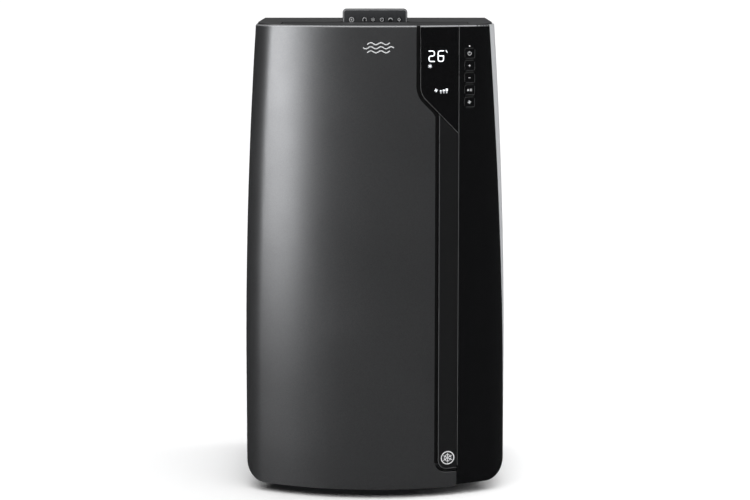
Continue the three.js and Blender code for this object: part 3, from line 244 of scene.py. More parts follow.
def buildToneGroup():  # slow change of tone across a moulding
    tree, entry, leave = newGroup("toneDrift", [
        ("Tone", "INPUT", "NodeSocketColor", (0.5, 0.5, 0.5, 1)),
        ("Amount", "INPUT", "NodeSocketFloat", 0.1),
        ("Scale", "INPUT", "NodeSocketFloat", 8.0),
        ("Color", "OUTPUT", "NodeSocketColor", None)])
    place = objectPlace(tree)
    cloud = noiseNode(tree, place, entry.outputs["Scale"], 4.0, 0.55)
    swing = mathNode(tree, "SUBTRACT", cloud, 0.5)
    swing = mathNode(tree, "MULTIPLY", swing, entry.outputs["Amount"])
    gain = mathNode(tree, "ADD", swing, 1.0)
    tree.links.new(scaledColor(tree, entry.outputs["Tone"], gain), leave.inputs["Color"])
    return tree


def buildSmudgeGroup():  # roughness that drifts between two values, with fine streaks
    tree, entry, leave = newGroup("smudges", [
        ("Smooth", "INPUT", "NodeSocketFloat", 0.2),
        ("Rough", "INPUT", "NodeSocketFloat", 0.4),
        ("Scale", "INPUT", "NodeSocketFloat", 14.0),
        ("Value", "OUTPUT", "NodeSocketFloat", None)])
    place = objectPlace(tree)
    cloud = noiseNode(tree, place, entry.outputs["Scale"], 5.0, 0.6)
    fine = noiseNode(tree, place, 420.0, 2.0)
    mix = mathNode(tree, "ADD", mathNode(tree, "MULTIPLY", cloud, 0.8),
                   mathNode(tree, "MULTIPLY", fine, 0.2))
    value = mapRange(tree, mix, entry.outputs["Smooth"], entry.outputs["Rough"], 0.3, 0.7)
    tree.links.new(value, leave.inputs["Value"])
    return tree


def buildGrainGroup():  # the fine pebble of a textured moulding
    tree, entry, leave = newGroup("mouldGrain", [
        ("Scale", "INPUT", "NodeSocketFloat", 900.0),
        ("Coarse", "INPUT", "NodeSocketFloat", 0.3),
        ("Height", "OUTPUT", "NodeSocketFloat", None)])
    place = objectPlace(tree)
    fine = noiseNode(tree, place, entry.outputs["Scale"], 2.0, 0.6)
    wide = noiseNode(tree, place, 160.0, 3.0)
    wide = mathNode(tree, "MULTIPLY", wide, entry.outputs["Coarse"])
    tree.links.new(mathNode(tree, "ADD", fine, wide), leave.inputs["Height"])
    return tree


def buildDustGroup():  # a little dust in specks, more of it on what faces up
    tree, entry, leave = newGroup("lightDust", [
        ("Amount", "INPUT", "NodeSocketFloat", 0.1),
        ("Mask", "OUTPUT", "NodeSocketFloat", None)])
    place = objectPlace(tree)
    facing = axesOf(tree, addNode(tree, "ShaderNodeNewGeometry").outputs["Normal"])
    up = mathNode(tree, "MAXIMUM", facing["Z"], 0.12)
    specks = noiseNode(tree, place, 240.0, 6.0, 0.7)
    specks = mathNode(tree, "MULTIPLY", mathNode(tree, "SUBTRACT", specks, 0.46), 4.0, True)
    mask = mathNode(tree, "MULTIPLY", mathNode(tree, "MULTIPLY", specks, up),
                    entry.outputs["Amount"], True)
    tree.links.new(mask, leave.inputs["Mask"])
    return tree


toneGroup = buildToneGroup()
smudgeGroup = buildSmudgeGroup()
grainGroup = buildGrainGroup()
dustGroup = buildDustGroup()


def placeGroup(tree, group, values):
    return feed(tree, addNode(tree, "ShaderNodeGroup", node_tree=group), values).outputs[0]


dustColor = (0.42, 0.40, 0.37, 1)
usual = {"drift": 0.12, "driftScale": 9.0, "dust": 0.1, "smudgeScale": 14.0, "metal": 0.0,
         "coat": 0.0, "coatRough": 0.05, "ior": 1.47, "grain": 0.0, "grainScale": 900.0,
         "coarse": 0.3, "grainDepth": 0.0001}


def newFinish(name, settings):
    own = {**usual, **settings}
    finish = bpy.data.materials.new(name)
    finish.use_nodes = True
    tree = finish.node_tree
    shader = tree.nodes["Principled BSDF"]
    tone = placeGroup(tree, toneGroup, {
        "Tone": (*own["color"], 1), "Amount": own["drift"], "Scale": own["driftScale"]})
    dust = placeGroup(tree, dustGroup, {"Amount": own["dust"]})
    mix = addNode(tree, "ShaderNodeMix", data_type="RGBA")
    mix.inputs["B"].default_value = dustColor
    tree.links.new(dust, mix.inputs["Factor"])
    tree.links.new(tone, mix.inputs["A"])
    smudge = placeGroup(tree, smudgeGroup, {
        "Smooth": own["rough"][0], "Rough": own["rough"][1], "Scale": own["smudgeScale"]})
    feed(tree, shader, {
        "Base Color": mix.outputs["Result"], "Roughness": smudge, "Metallic": own["metal"],
        "Coat Weight": own["coat"], "Coat Roughness": own["coatRough"], "IOR": own["ior"]})
    if own["grain"]:
        grain = placeGroup(tree, grainGroup, {
            "Scale": own["grainScale"], "Coarse": own["coarse"]})
        bump = feed(tree, addNode(tree, "ShaderNodeBump"), {
            "Strength": own["grain"], "Distance": own["grainDepth"], "Height": grain})
        tree.links.new(bump.outputs["Normal"], shader.inputs["Normal"])
    return finish


def addFlake(finish, scale, low, high):  # metal flake in lacquer: each speck has its own tone
    tree = finish.node_tree
    shader = tree.nodes["Principled BSDF"]
    source = shader.inputs["Base Color"].links[0].from_socket
    cells = feed(tree, addNode(tree, "ShaderNodeTexVoronoi"), {
        "Scale": scale, "Vector": objectPlace(tree)})
    gray = feed(tree, addNode(tree, "ShaderNodeSeparateColor"), {0: cells.outputs["Color"]})
    speckled = scaledColor(tree, source, mapRange(tree, gray.outputs[0], low, high))
    tree.links.new(speckled, shader.inputs["Base Color"])


finishes = {
    "graphite": {"color": (0.135, 0.137, 0.141), "rough": (0.33, 0.40), "metal": 0.82,
                 "drift": 0.05, "dust": 0.03, "grain": 0.05, "grainScale": 1400.0,
                 "smudgeScale": 7.0},
    "glossBlack": {"color": (0.0035, 0.0036, 0.004), "rough": (0.045, 0.10), "coat": 0.4,
                   "dust": 0.035, "drift": 0.1, "smudgeScale": 11.0},
    "satinBlack": {"color": (0.011, 0.0112, 0.012), "rough": (0.30, 0.38), "metal": 0.15,
                   "dust": 0.05, "grain": 0.1, "grainScale": 1300.0},
    "silver": {"color": (0.56, 0.57, 0.585), "rough": (0.36, 0.46), "metal": 0.25,
               "dust": 0.06, "grain": 0.12, "grainScale": 1000.0},
    "coverGrey": {"color": (0.031, 0.0315, 0.033), "rough": (0.42, 0.54), "dust": 0.03,
                  "grain": 0.35, "grainScale": 750.0},
    "flapGrey": {"color": (0.022, 0.0225, 0.024), "rough": (0.36, 0.46), "dust": 0.03,
                 "grain": 0.25, "grainScale": 800.0},
    "mattBlack": {"color": (0.010, 0.0102, 0.011), "rough": (0.55, 0.7), "dust": 0.12,
                  "grain": 0.4, "grainScale": 600.0},
    "remoteGrey": {"color": (0.075, 0.077, 0.082), "rough": (0.30, 0.40), "metal": 0.35,
                   "dust": 0.05, "grain": 0.15, "grainScale": 1100.0},
    "keyDark": {"color": (0.018, 0.0182, 0.02), "rough": (0.28, 0.4), "dust": 0.04,
                "grain": 0.1},
    "printWhite": {"color": (0.72, 0.73, 0.74), "rough": (0.4, 0.55), "dust": 0.02},
    # painted highlight, dimmer: for the inlay's edge, the seam and the keys' edges
    "dimPaintedHighlight": {"color": (0.20, 0.205, 0.21), "rough": (0.25, 0.36), "metal": 0.6, "dust": 0.02},
    # painted highlight: for the edge of the display glass
    "paintedRimHighlight": {"color": (0.50, 0.51, 0.52), "rough": (0.22, 0.34), "metal": 0.9, "dust": 0.02},
    # painted highlight for the rounded top edge of the front panels
    "paintedEdgeHighlight": {"color": (0.27, 0.273, 0.28), "rough": (0.34, 0.38), "metal": 0.3,
                 "drift": 0.05, "dust": 0.0},
    # painted highlight for the remote's bevelled rim
    "rimLight": {"color": (0.62, 0.63, 0.64), "rough": (0.3, 0.4), "metal": 0.2, "dust": 0.0},
    # near black that paints the shade in the grooves; the front frame seen in them takes it too
    "gapShadeBlack": {"color": (0.0016, 0.0016, 0.0018), "rough": (0.85, 0.95), "dust": 0.0},
    "tread": {"color": (0.016, 0.016, 0.017), "rough": (0.6, 0.8), "dust": 0.35,
              "grain": 0.5, "grainScale": 420.0},
    "zinc": {"color": (0.42, 0.43, 0.45), "rough": (0.3, 0.5), "metal": 0.9, "drift": 0.3,
             "driftScale": 70.0, "grain": 0.15},
    "fins": {"color": (0.6, 0.62, 0.64), "rough": (0.3, 0.5), "metal": 0.9},
    "copper": {"color": (0.58, 0.25, 0.13), "rough": (0.25, 0.45), "metal": 0.95,
               "drift": 0.35, "driftScale": 40.0},
    "enamel": {"color": (0.012, 0.012, 0.013), "rough": (0.2, 0.35), "coat": 0.5},
    "foam": {"color": (0.62, 0.62, 0.60), "rough": (0.7, 0.85), "grain": 0.6,
             "grainScale": 300.0},
    "board": {"color": (0.012, 0.06, 0.032), "rough": (0.35, 0.55), "drift": 0.3,
              "driftScale": 60.0},
    "filterMesh": {"color": (0.035, 0.038, 0.042), "rough": (0.6, 0.75), "dust": 0.3,
                   "grain": 0.4},
}
look = {name: newFinish(name, settings) for name, settings in finishes.items()}
addFlake(look["graphite"], 2600.0, 0.82, 1.2)
addFlake(look["silver"], 2400.0, 0.93, 1.06)


def newGlow(name, color, strength):  # a lit mark, its glow varying a little from place to place
    finish = newFinish(name, {"color": color, "rough": (0.4, 0.5), "dust": 0.0})
    tree = finish.node_tree
    shader = tree.nodes["Principled BSDF"]
    tone = placeGroup(tree, toneGroup, {"Tone": (*color, 1), "Amount": 0.25, "Scale": 300.0})
    feed(tree, shader, {"Emission Color": tone, "Emission Strength": strength})
    return finish


def addWeave(finish, scale, gap):  # open netting: threads in both directions, holes between
    tree = finish.node_tree
    shader = tree.nodes["Principled BSDF"]
    axes = axesOf(tree, objectPlace(tree))
    threads = []
    for axis in ("X", "Z"):
        wave = mathNode(tree, "SINE", mathNode(tree, "MULTIPLY", axes[axis], scale))
        threads.append(mathNode(tree, "GREATER_THAN", wave, gap))
    tree.links.new(mathNode(tree, "MAXIMUM", *threads), shader.inputs["Alpha"])


def addFinsAndGapShade(finish, pitch):  # thin upright fins, with painted shade for the dark gaps between them
    tree = finish.node_tree
    shader = tree.nodes["Principled BSDF"]
    along = axesOf(tree, objectPlace(tree))["X"]
    turns = mathNode(tree, "MULTIPLY", along, 2 * math.pi / pitch)
    wave = mathNode(tree, "SINE", turns)
    source = shader.inputs["Base Color"].links[0].from_socket
    finsAndGapShade = scaledColor(tree, source, mapRange(tree, wave, 0.12, 1.0, -0.6, 0.2))
    tree.links.new(finsAndGapShade, shader.inputs["Base Color"])


look["netting"] = newFinish("netting", finishes["filterMesh"])
weave = {"pitch": 0.0016, "gap": 0.3, "finPitch": 0.0024}
addWeave(look["netting"], 2 * math.pi / weave["pitch"], weave["gap"])
addFinsAndGapShade(look["fins"], weave["finPitch"])
look["glow"] = newGlow("glow", (0.92, 0.96, 1.0), 0.9)
look["glowDim"] = newGlow("glowDim", (0.85, 0.88, 0.9), 0.45)
print("finishes made:", len(look))


# the cabinet's skin: flat sheets are cut to their outline, then wrapped round it
def flare(z):
    share = (z - cabinet["flareFrom"]) / (cabinet["top"] - cabinet["flareFrom"])
    return max(0.0, share) ** cabinet["flarePower"]


def sectionAt(z):
    c = cabinet
    half = c["half"] - c["sideTaper"] * flare(z)
    bowY = c["front"] + c["frontTaper"] * flare(z) + c["bowRadius"]
    cornerX = half - c["cornerRadius"]
    drop = math.sqrt((c["bowRadius"] - c["cornerRadius"]) ** 2 - cornerX ** 2)
    return half, bowY, cornerX, bowY - drop, math.atan2(cornerX, drop)


def lengthsAt(z):  # how long the bow, the corner, the side and the rear corner are
    c = cabinet
    half, bowY, cornerX, cornerY, meet = sectionAt(z)
    bow = c["bowRadius"] * meet
    corner = c["cornerRadius"] * (math.pi / 2 - meet)
    side = c["back"] - c["rearRadius"] - cornerY
    return bow, corner, side, c["rearRadius"] * math.pi / 2


def skinPoint(s, z, depth):  # s runs round the outline from the middle of the front
    c = cabinet
    half, bowY, cornerX, cornerY, meet = sectionAt(z)
    bow, corner, side, rear = lengthsAt(z)
    way = -1 if s < 0 else 1
    run = abs(s)
    if run <= bow:
        angle = run / c["bowRadius"]
        r = c["bowRadius"] - depth
        x, y = r * math.sin(angle), bowY - r * math.cos(angle)
    elif run <= bow + corner:
        angle = meet + (run - bow) / c["cornerRadius"]
        r = c["cornerRadius"] - depth
        x, y = cornerX + r * math.sin(angle), cornerY - r * math.cos(angle)
    elif run <= bow + corner + side:
        x, y = half - depth, cornerY + run - bow - corner
    elif run <= bow + corner + side + rear:
        angle = (run - bow - corner - side) / c["rearRadius"]
        r = c["rearRadius"] - depth
        x = half - c["rearRadius"] + r * math.cos(angle)
        y = c["back"] - c["rearRadius"] + r * math.sin(angle)
    else:
        x = half - c["rearRadius"] - (run - bow - corner - side - rear)
        y = c["back"] - depth
    return Vector((way * x, y, z))


def alongFront(x):
    return cabinet["bowRadius"] * math.asin(x / cabinet["bowRadius"])


def alongCorner(angle, z):
    meet = sectionAt(z)[4]
    return cabinet["bowRadius"] * meet + cabinet["cornerRadius"] * (angle - meet)


def alongSide(y, z):
    bow, corner, side, rear = lengthsAt(z)
    return bow + corner + y - sectionAt(z)[3]


def alongBack(x, z):
    return sum(lengthsAt(z)) + sectionAt(z)[0] - cabinet["rearRadius"] - x


def topRoundDepth(z):  # the upper edge of every front panel is rounded over
    r = cabinet["topRound"]
    over = z - (cabinet["top"] - r)
    return r - math.sqrt(max(r * r - over * over, 0.0)) if over > 0 else 0.0


def footZ(x, lift=0.0):
    r = cabinet["footRadius"]
    over = abs(x) - (cabinet["half"] - r)
    rise = r - math.sqrt(max(r * r - over * over, 0.0)) if over > 0 else 0.0
    return cabinet["bottom"] + lift + min(rise, r)


def arcPoints(cx, cz, radius, start, end, steps):
    turn = [math.radians(start + (end - start) * i / steps) for i in range(steps + 1)]
    return [(cx + radius * math.cos(a), cz + radius * math.sin(a)) for a in turn]


def spread(first, last, step):
    count = max(1, math.ceil(abs(last - first) / step))
    return [first + (last - first) * i / count for i in range(count + 1)]


def underside(x, y):  # round lower corners at the front, level round the back
    c = cabinet
    if y > c["back"] - c["rearRadius"]:
        return c["bottom"] + c["footRadius"]
    return footZ(min(abs(x), c["half"]))


def flatSheet(name, outlines, thickness, edge):
    # a filled flat curve with rounded edges, lying in X and Z, its face towards -Y
    shape = outlineObject(name, "2D", [[(a, b, 0) for a, b in line] for line in outlines])
    shape.data.fill_mode = "BOTH"
    shape.data.extrude = thickness / 2 - edge
    shape.data.bevel_depth = edge
    shape.data.bevel_resolution = 2
    shape.data.offset = -edge
    sheet = toMesh(shape)
    sheet.rotation_euler = (math.pi / 2, 0, 0)
    sheet.location = (0, thickness / 2, 0)
    applyPlace(sheet)
    mergeDoubles(sheet, 1e-6)
    return dissolveFlat(sheet, 0.5)


def sliceEvenly(sheet, axis, low, high, step):
    return sliceSheet(sheet, axis, spread(low, high, step)[1:-1])


def sliceSheet(sheet, axis, places):  # cuts the sheet so that it can bend there
    makeActive(sheet)
    bpy.ops.object.mode_set(mode="EDIT")
    normal = [0, 0, 0]
    normal[axis] = 1
    for place in places:
        point = [0, 0, 0]
        point[axis] = place
        bpy.ops.mesh.select_all(action="SELECT")
        bpy.ops.mesh.bisect(plane_co=point, plane_no=normal, use_fill=False)
    bpy.ops.object.mode_set(mode="OBJECT")
    return sheet


normalStep = 0.0004


def bendSheet(sheet, shape):
    # moves each point to its place and gives the face the shape's own true normals
    mesh = sheet.data
    flat = [vertex.co.copy() for vertex in mesh.vertices]
    for vertex, place in zip(mesh.vertices, flat):
        vertex.co = shape(place.x, place.z, place.y)
    mesh.update()
    smooth(sheet, 38)
    normals = [(0.0, 0.0, 0.0)] * len(mesh.loops)
    cache = {}
    for polygon in mesh.polygons:
        corners = [mesh.loops[i].vertex_index for i in polygon.loop_indices]
        if any(abs(flat[v].y) > 1e-6 for v in corners):
            continue
        for i, v in zip(polygon.loop_indices, corners):
            if v not in cache:
                p = flat[v]
                across = (shape(p.x + normalStep, p.z, p.y) - shape(p.x - normalStep, p.z, p.y))
                upward = (shape(p.x, p.z + normalStep / 4, p.y)
                          - shape(p.x, p.z - normalStep / 4, p.y))
                cache[v] = tuple(across.cross(upward).normalized())
            normals[i] = cache[v]
    mesh.normals_split_custom_set(normals)
    return sheet


def wrapSkin(s, z, depth):  # only the face is rounded over, the back of the sheet stays
    return skinPoint(s, z, depth + topRoundDepth(z) * (1 - depth / cabinet["wall"]))


def wrapSheet(sheet, proud):
    return bendSheet(sheet, lambda s, z, depth: wrapSkin(s, z, depth - proud))


roundShares = (0.72, 0.48, 0.28, 0.13, 0.04)  # where the rounding is cut, of its radius
straightZ = 0.05  # a height below the flare
panelEdge = 0.0005
riseStep = 0.022
edgeStep = 0.02


def roundLevels(upper):
    return [upper - cabinet["topRound"] * share for share in roundShares]


def bandOutline(a, b, low, high):
    return [(a, low), (b, low), (b, high), (a, high)]


def skinPiece(name, outlines, thickness, edge, bottom, top, sRange, step=0.006, lift=0.0):
    sheet = flatSheet(name, outlines, thickness, edge)
    sliceEvenly(sheet, 0, *sRange, step)
    levels = spread(bottom, top - cabinet["topRound"], riseStep)[1:] + roundLevels(top)
    sliceSheet(sheet, 2, [z for z in levels if z < top])
    return wrapSheet(sheet, lift)


# the piece lies between the heights "below" and "above", and to the right of "from"
windowShape = {"left": 0.0698, "cornerZ": 0.6364, "slope": math.radians(46), "radius": 0.032,
               "below": 0.56, "from": 0.06}
stripShape = {"width": 0.0304, "bottom": 0.044, "corner": 0.014, "below": 0.02, "above": 0.61,
              "from": 0.09}
stripLeft = seamX - stripShape["width"]
top = cabinet["top"]


def slantZ(x, away):
    w = windowShape
    return (w["cornerZ"] - (x - w["left"]) * math.tan(w["slope"])
            - away / math.cos(w["slope"]))


def windowEdge(away, endX):  # from the top down the left edge, round, and along the slant
    w = windowShape
    radius = w["radius"] + away
    turn = 90 - math.degrees(w["slope"])
    centreZ = w["cornerZ"] + w["radius"] * math.tan(math.radians(turn / 2))
    return [(w["left"] - away, top),
            *arcPoints(w["left"] + w["radius"], centreZ, radius, 180, 180 + turn, 12),
            (endX, slantZ(endX, away))]


def toSheet(points):
    return [(alongFront(x), z) for x, z in points]


def makeFrontPanel():
    heights = spread(top, footZ(cabinet["half"]), edgeStep)
    leftEnd = [(-alongSide(wrapY, z), z) for z in heights]
    leftFoot = -alongSide(wrapY, straightZ)
    foot = [(s, footZ(skinPoint(s, straightZ, 0).x))
            for s in spread(leftFoot, alongFront(seamX - slit), 0.002)]
    stripX = stripLeft - groove
    corner = stripShape["corner"]
    inner = toSheet([
        (seamX - slit, stripShape["bottom"] - groove),
        *reversed(arcPoints(stripLeft + corner, stripShape["bottom"] + corner,
                            corner + groove, 180, 270, 10)),
        (stripX, slantZ(stripX, groove) - 0.003),
        (stripX - 0.0008, slantZ(stripX, groove) - 0.0008),
        (stripX - 0.003, slantZ(stripX - 0.003, groove)),
        *reversed(windowEdge(groove, stripX)[:-1])])
    outline = [*leftEnd[:-1], *foot, *inner]
    panel = skinPiece("front_panel_skin", [outline], cabinet["wall"], panelEdge, 0.0, top,
                      (leftFoot, alongFront(seamX)))
    return finishPiece(panel, "cabinet", "graphite", ["front_panel"])


def makeDisplayWindow():
    right = seamX - slit
    outline = toSheet([*windowEdge(0, right), (right, top)])
    pane = skinPiece("display_window_pane", [outline], cabinet["wall"], panelEdge,
                     windowShape["below"], top, (alongFront(windowShape["from"]), alongFront(seamX)))
    return finishPiece(pane, "cabinet", "glossBlack", ["display_window"])


def makeAccentStrip():
    right = seamX - slit
    corner = stripShape["corner"]
    outline = toSheet([
        (stripLeft, slantZ(stripLeft, slit)),
        *arcPoints(stripLeft + corner, stripShape["bottom"] + corner, corner, 180, 270, 10),
        (right, stripShape["bottom"]), (right, slantZ(right, slit))])
    strip = skinPiece("accent_strip_inlay", [outline], cabinet["wall"], panelEdge,
                      stripShape["below"], stripShape["above"],
                      (alongFront(stripShape["from"]), alongFront(seamX)))
    return finishPiece(strip, "cabinet", "satinBlack", ["accent_strip"])


keys = {"x": 0.147, "topZ": 0.6984, "pitch": 0.01885, "width": 0.0176, "height": 0.0162,
        "corner": 0.003, "gap": 0.0005, "proud": 0.0003, "thick": 0.0042, "reach": 0.009,
        "names": ["power", "warmer", "cooler", "mode", "fan"]}
keyS = alongFront(keys["x"])


def keyZ(k):
    return keys["topZ"] - k * keys["pitch"]


def roundedRect(cx, cz, width, height, radius, steps=5):
    a, b = width / 2 - radius, height / 2 - radius
    points = []
    for sx, sz, start in ((1, -1, 270), (1, 1, 0), (-1, 1, 90), (-1, -1, 180)):
        points += arcPoints(cx + sx * a, cz + sz * b, radius, start, start + 90, steps)
    return points


keyPanel = {"lift": 0.003, "endTop": 57, "endLow": 86, "endPower": 1.8}


def keyPanelEnd(z):  # the seam to the right side runs further round the corner lower down
    k = keyPanel
    down = (top - z) / (top - cabinet["bottom"])
    return math.radians(k["endTop"] + (k["endLow"] - k["endTop"]) * down ** k["endPower"])


def seamS(z):
    return alongCorner(keyPanelEnd(z), z)


def makeKeyPanel():
    lift = keyPanel["lift"]
    left = alongFront(seamX)
    end = seamS(straightZ)
    footEnd = skinPoint(end, straightZ, 0).x
    rightEnd = [(seamS(z), z) for z in spread(footZ(footEnd, lift), top, edgeStep)]
    foot = [(s, footZ(skinPoint(s, straightZ, 0).x, lift)) for s in spread(left, end, 0.002)]
    outline = [(left, top), *foot, *rightEnd[1:]]
    gap = 2 * keys["gap"]
    holes = [roundedRect(keyS, keyZ(k), keys["width"] + gap, keys["height"] + gap,
                         keys["corner"] + keys["gap"]) for k in range(5)]
    panel = skinPiece("key_panel_skin", [outline, *holes], cabinet["wall"], 0.0004, 0.0, top,
                      (left, end), 0.004)
    return finishPiece(panel, "cabinet", "glossBlack", ["key_panel"])


def makeFrontKeys():
    for k, use in enumerate(keys["names"]):
        z = keyZ(k)
        outline = roundedRect(keyS, z, keys["width"], keys["height"], keys["corner"])
        reach = keys["reach"]
        cap = skinPiece(f"key_{use}_cap", [outline], keys["thick"], panelEdge, z - reach,
                        z + 0.03, (keyS - reach, keyS + reach), 0.003, keys["proud"])
        finishPiece(cap, f"key_{use}", "glossBlack", [f"key_{use}"])


def makeSidePanel(name, way, startS):
    # outline goes up the front edge, back along the top, down the shoulder and the corner
    c = cabinet
    handle = {"y": 0.045, "z": 0.630, "width": 0.110, "height": 0.044, "corner": 0.012}
    backX = 0.1455  # where it meets the back panel
    lowZ = c["bottom"] + c["footRadius"]

    def topZ(y):
        over = y - (c["back"] - c["shoulderRun"])
        return top - max(0.0, over) * c["shoulderDrop"] / c["shoulderRun"]

    first = startS(lowZ)
    startZ = underside(*skinPoint(first, lowZ, 0).xy)
    upFront = [(startS(z), z) for z in spread(startZ, top, edgeStep)]
    upper = []
    for y in spread(skinPoint(startS(top), top, 0).y, c["back"] - c["rearRadius"], 0.006)[1:]:
        if y > sectionAt(top)[3]:
            upper.append((alongSide(y, topZ(y)), topZ(y)))
    for share in spread(0, 1, 0.1)[1:]:
        y = c["back"] - c["rearRadius"] * (1 - math.sin(share * math.pi / 2))
        z = topZ(y)
        bow, corner, side, rear = lengthsAt(z)
        upper.append((bow + corner + side + rear * share, z))
    endTop = top - c["shoulderDrop"]
    down = [(alongBack(backX, z), z) for z in spread(endTop, lowZ, edgeStep)]
    under = [(s, underside(*skinPoint(s, lowZ, 0).xy))
             for s in spread(alongBack(backX, lowZ), first, 0.0025)]
    outline = [*upFront, *upper, *down, *under[1:-1]]
    hole = []
    for y, z in roundedRect(handle["y"], handle["z"], handle["width"], handle["height"],
                            handle["corner"], 8):
        hole.append((alongSide(y, z), z))
    if way < 0:
        outline = [(-s, z) for s, z in outline]
        hole = [(-s, z) for s, z in hole]
    sheet = flatSheet(name, [outline, hole], c["wall"], panelEdge)
    bow, corner, side, rear = lengthsAt(top)
    slices = spread(startS(top), sum(lengthsAt(lowZ)[:2]), 0.004) + [bow + corner + side]
    slices += spread(bow + corner + side - 0.02, bow + corner + side + rear + 0.012, 0.004)
    slices += spread(bow + corner, bow + corner + side, 0.03)
    sliceSheet(sheet, 0, sorted({round(way * s, 5) for s in slices}))
    sliceEvenly(sheet, 2, lowZ, top, riseStep)
    return bendSheet(sheet, skinPoint)


def makeSides():
    right = makeSidePanel("side_skin_right", 1, lambda z: seamS(z) + slit)
    finishPiece(right, "cabinet", "silver", ["side_panel_right"])
    left = makeSidePanel("side_skin_left", -1, lambda z: alongSide(wrapY + slit, z))
    finishPiece(left, "cabinet", "silver", ["side_panel_left"])


makeFrontPanel()
makeDisplayWindow()
makeAccentStrip()
makeKeyPanel()
makeFrontKeys()
makeSides()
print("skin made")


# painted highlights along the edges of the glass, the inlay, the seam and the top, painted shade in a
# groove, and the marks printed or lit on them
def strokeOutline(points, width):  # the outline of a pen stroke with round ends
    half = width / 2
    left, right = [], []
    count = len(points)
    for i, (a, b) in enumerate(points):
        before, after = points[max(i - 1, 0)], points[min(i + 1, count - 1)]
        da, db = after[0] - before[0], after[1] - before[1]
        length = math.hypot(da, db)
        na, nb = -db / length, da / length
        left.append((a + na * half, b + nb * half))
        right.append((a - na * half, b - nb * half))
    ends = []
    for tip, neighbour in ((points[-1], points[-2]), (points[0], points[1])):
        angle = math.degrees(math.atan2(tip[1] - neighbour[1], tip[0] - neighbour[0]))
        ends.append(arcPoints(tip[0], tip[1], half, angle + 90, angle - 90, 8)[1:-1])
    return [*left, *ends[0], *reversed(right), *ends[1]]


def roundedPath(points, radius, steps=5):  # a path whose inner corners are round
    path = [points[0]]
    for before, corner, after in zip(points, points[1:], points[2:]):
        a = Vector(before) - Vector(corner)
        b = Vector(after) - Vector(corner)
        cut = min(radius, a.length * 0.49, b.length * 0.49)
        start, end = Vector(corner) + a.normalized() * cut, Vector(corner) + b.normalized() * cut
        for i in range(steps + 1):
            share = i / steps
            first = start.lerp(Vector(corner), share)
            second = Vector(corner).lerp(end, share)
            path.append(tuple(first.lerp(second, share)))
    return [*path, points[-1]]


def circle(a, b, radius, steps=24):
    return arcPoints(a, b, radius, 0, 360, steps)[:-1]


printThickness = 0.0002


def onSkin(name, shapes, proud=0.00006, step=0.004):
    # each shape is a list of outlines in metres along the skin, and up
    sheets = []
    for k, outlines in enumerate(shapes):
        sheet = flatSheet(f"{name}_{k}", outlines, printThickness, 0.0)
        places = [vertex.co.x for vertex in sheet.data.vertices]
        if max(places) - min(places) > step:
            sliceEvenly(sheet, 0, min(places), max(places), step)
        heights = [vertex.co.z for vertex in sheet.data.vertices]
        if max(heights) - min(heights) > 0.03:
            sliceEvenly(sheet, 2, min(heights), max(heights), edgeStep)
        sheets.append(wrapSheet(sheet, proud))
    return joinAll(sheets, name)


def makeTopEdgeHighlight():  # painted highlight: a pale band stands in for the bright rounded edge along the top of the front panels
    edge = {"low": 0.7397, "proud": 0.00004}
    gapLeft = alongFront(windowShape["left"] - groove)
    parts = [(-alongSide(wrapY, top), gapLeft), (alongFront(windowShape["left"]),
             alongFront(seamX - slit)), (alongFront(seamX), seamS(top))]
    for k, (a, b) in enumerate(parts):
        sheet = flatSheet("edge", [bandOutline(a, b, edge["low"], top)], printThickness, 0.0)
        sliceEvenly(sheet, 0, a, b, 0.006)
        sliceSheet(sheet, 2, roundLevels(top))
        wrapSheet(sheet, edge["proud"])
        sheet.name = sheet.data.name = f"top_edge_highlight_{k + 1}"
        finishPiece(sheet, "cabinet", "paintedEdgeHighlight")


def makeGroovePaintedShade():  # painted shade: a black sheet set back in the groove beside the window keeps its top black
    back = {"from": 0.0625, "to": 0.0705, "low": 0.724, "high": 0.7412, "depth": 0.0031}
    a, b = alongFront(back["from"]), alongFront(back["to"])
    piece = onSkin("groove_painted_shade", [[bandOutline(a, b, back["low"], back["high"])]],
                   -back["depth"])
    finishPiece(piece, "cabinet", "gapShadeBlack")


# painted highlights: thin pale bands along the display glass, round the inlay and down the seam stand
# in for the light their edges catch
def makeEdgeHighlights():
    rim = {"width": 0.0010, "seamWidth": 0.0009, "seamLow": 0.048, "seamUnder": 0.003}
    right = seamX - slit
    outer = toSheet(windowEdge(-0.0001, right))
    inner = toSheet(windowEdge(-rim["width"], right))
    window = onSkin("window_edge_highlight", [[[*outer, *reversed(inner)]]], step=0.003)
    finishPiece(window, "cabinet", "paintedRimHighlight")
    w, corner, low = rim["width"], stripShape["corner"], stripShape["bottom"]
    left = stripLeft + 0.0001

    def edge(away):
        return toSheet([
            (left + away, slantZ(left, 0) - 0.003),
            *arcPoints(left + corner, low + corner, corner - away, 180, 270, 12),
            (right, low + away)])
    strip = onSkin("strip_edge_highlight", [[[*edge(0), *reversed(edge(w))]]], step=0.003)
    finishPiece(strip, "cabinet", "dimPaintedHighlight")
    a, b = alongFront(seamX), alongFront(seamX + rim["seamWidth"])
    band = bandOutline(a, b, rim["seamLow"], top - rim["seamUnder"])
    seam = onSkin("seam_highlight", [[band]])
    finishPiece(seam, "cabinet", "dimPaintedHighlight")


display = {"left": 0.0832, "low": 0.6870, "width": 0.0084, "height": 0.0160, "gap": 0.0142,
           "stroke": 0.0016, "corner": 0.0035, "tickStroke": 0.0012,
           "tick": [(0.1096, 0.7034), (0.1114, 0.7008)], "star": (0.0849, 0.6798, 0.0030, 0.0006)}


def digitStrokes(kind, x, z, width, height):
    middle = z + height * 0.52
    r, end = display["corner"], x + width
    if kind == 2:
        path = [(x, z + height), (end, z + height), (end, middle), (x, middle), (x, z), (end, z)]
        return [roundedPath(path, r)]
    path = [(end, z + height), (x, z + height), (x, z), (end, z), (end, middle)]
    return [roundedPath(path, r), [(end, middle), (x, middle)]]


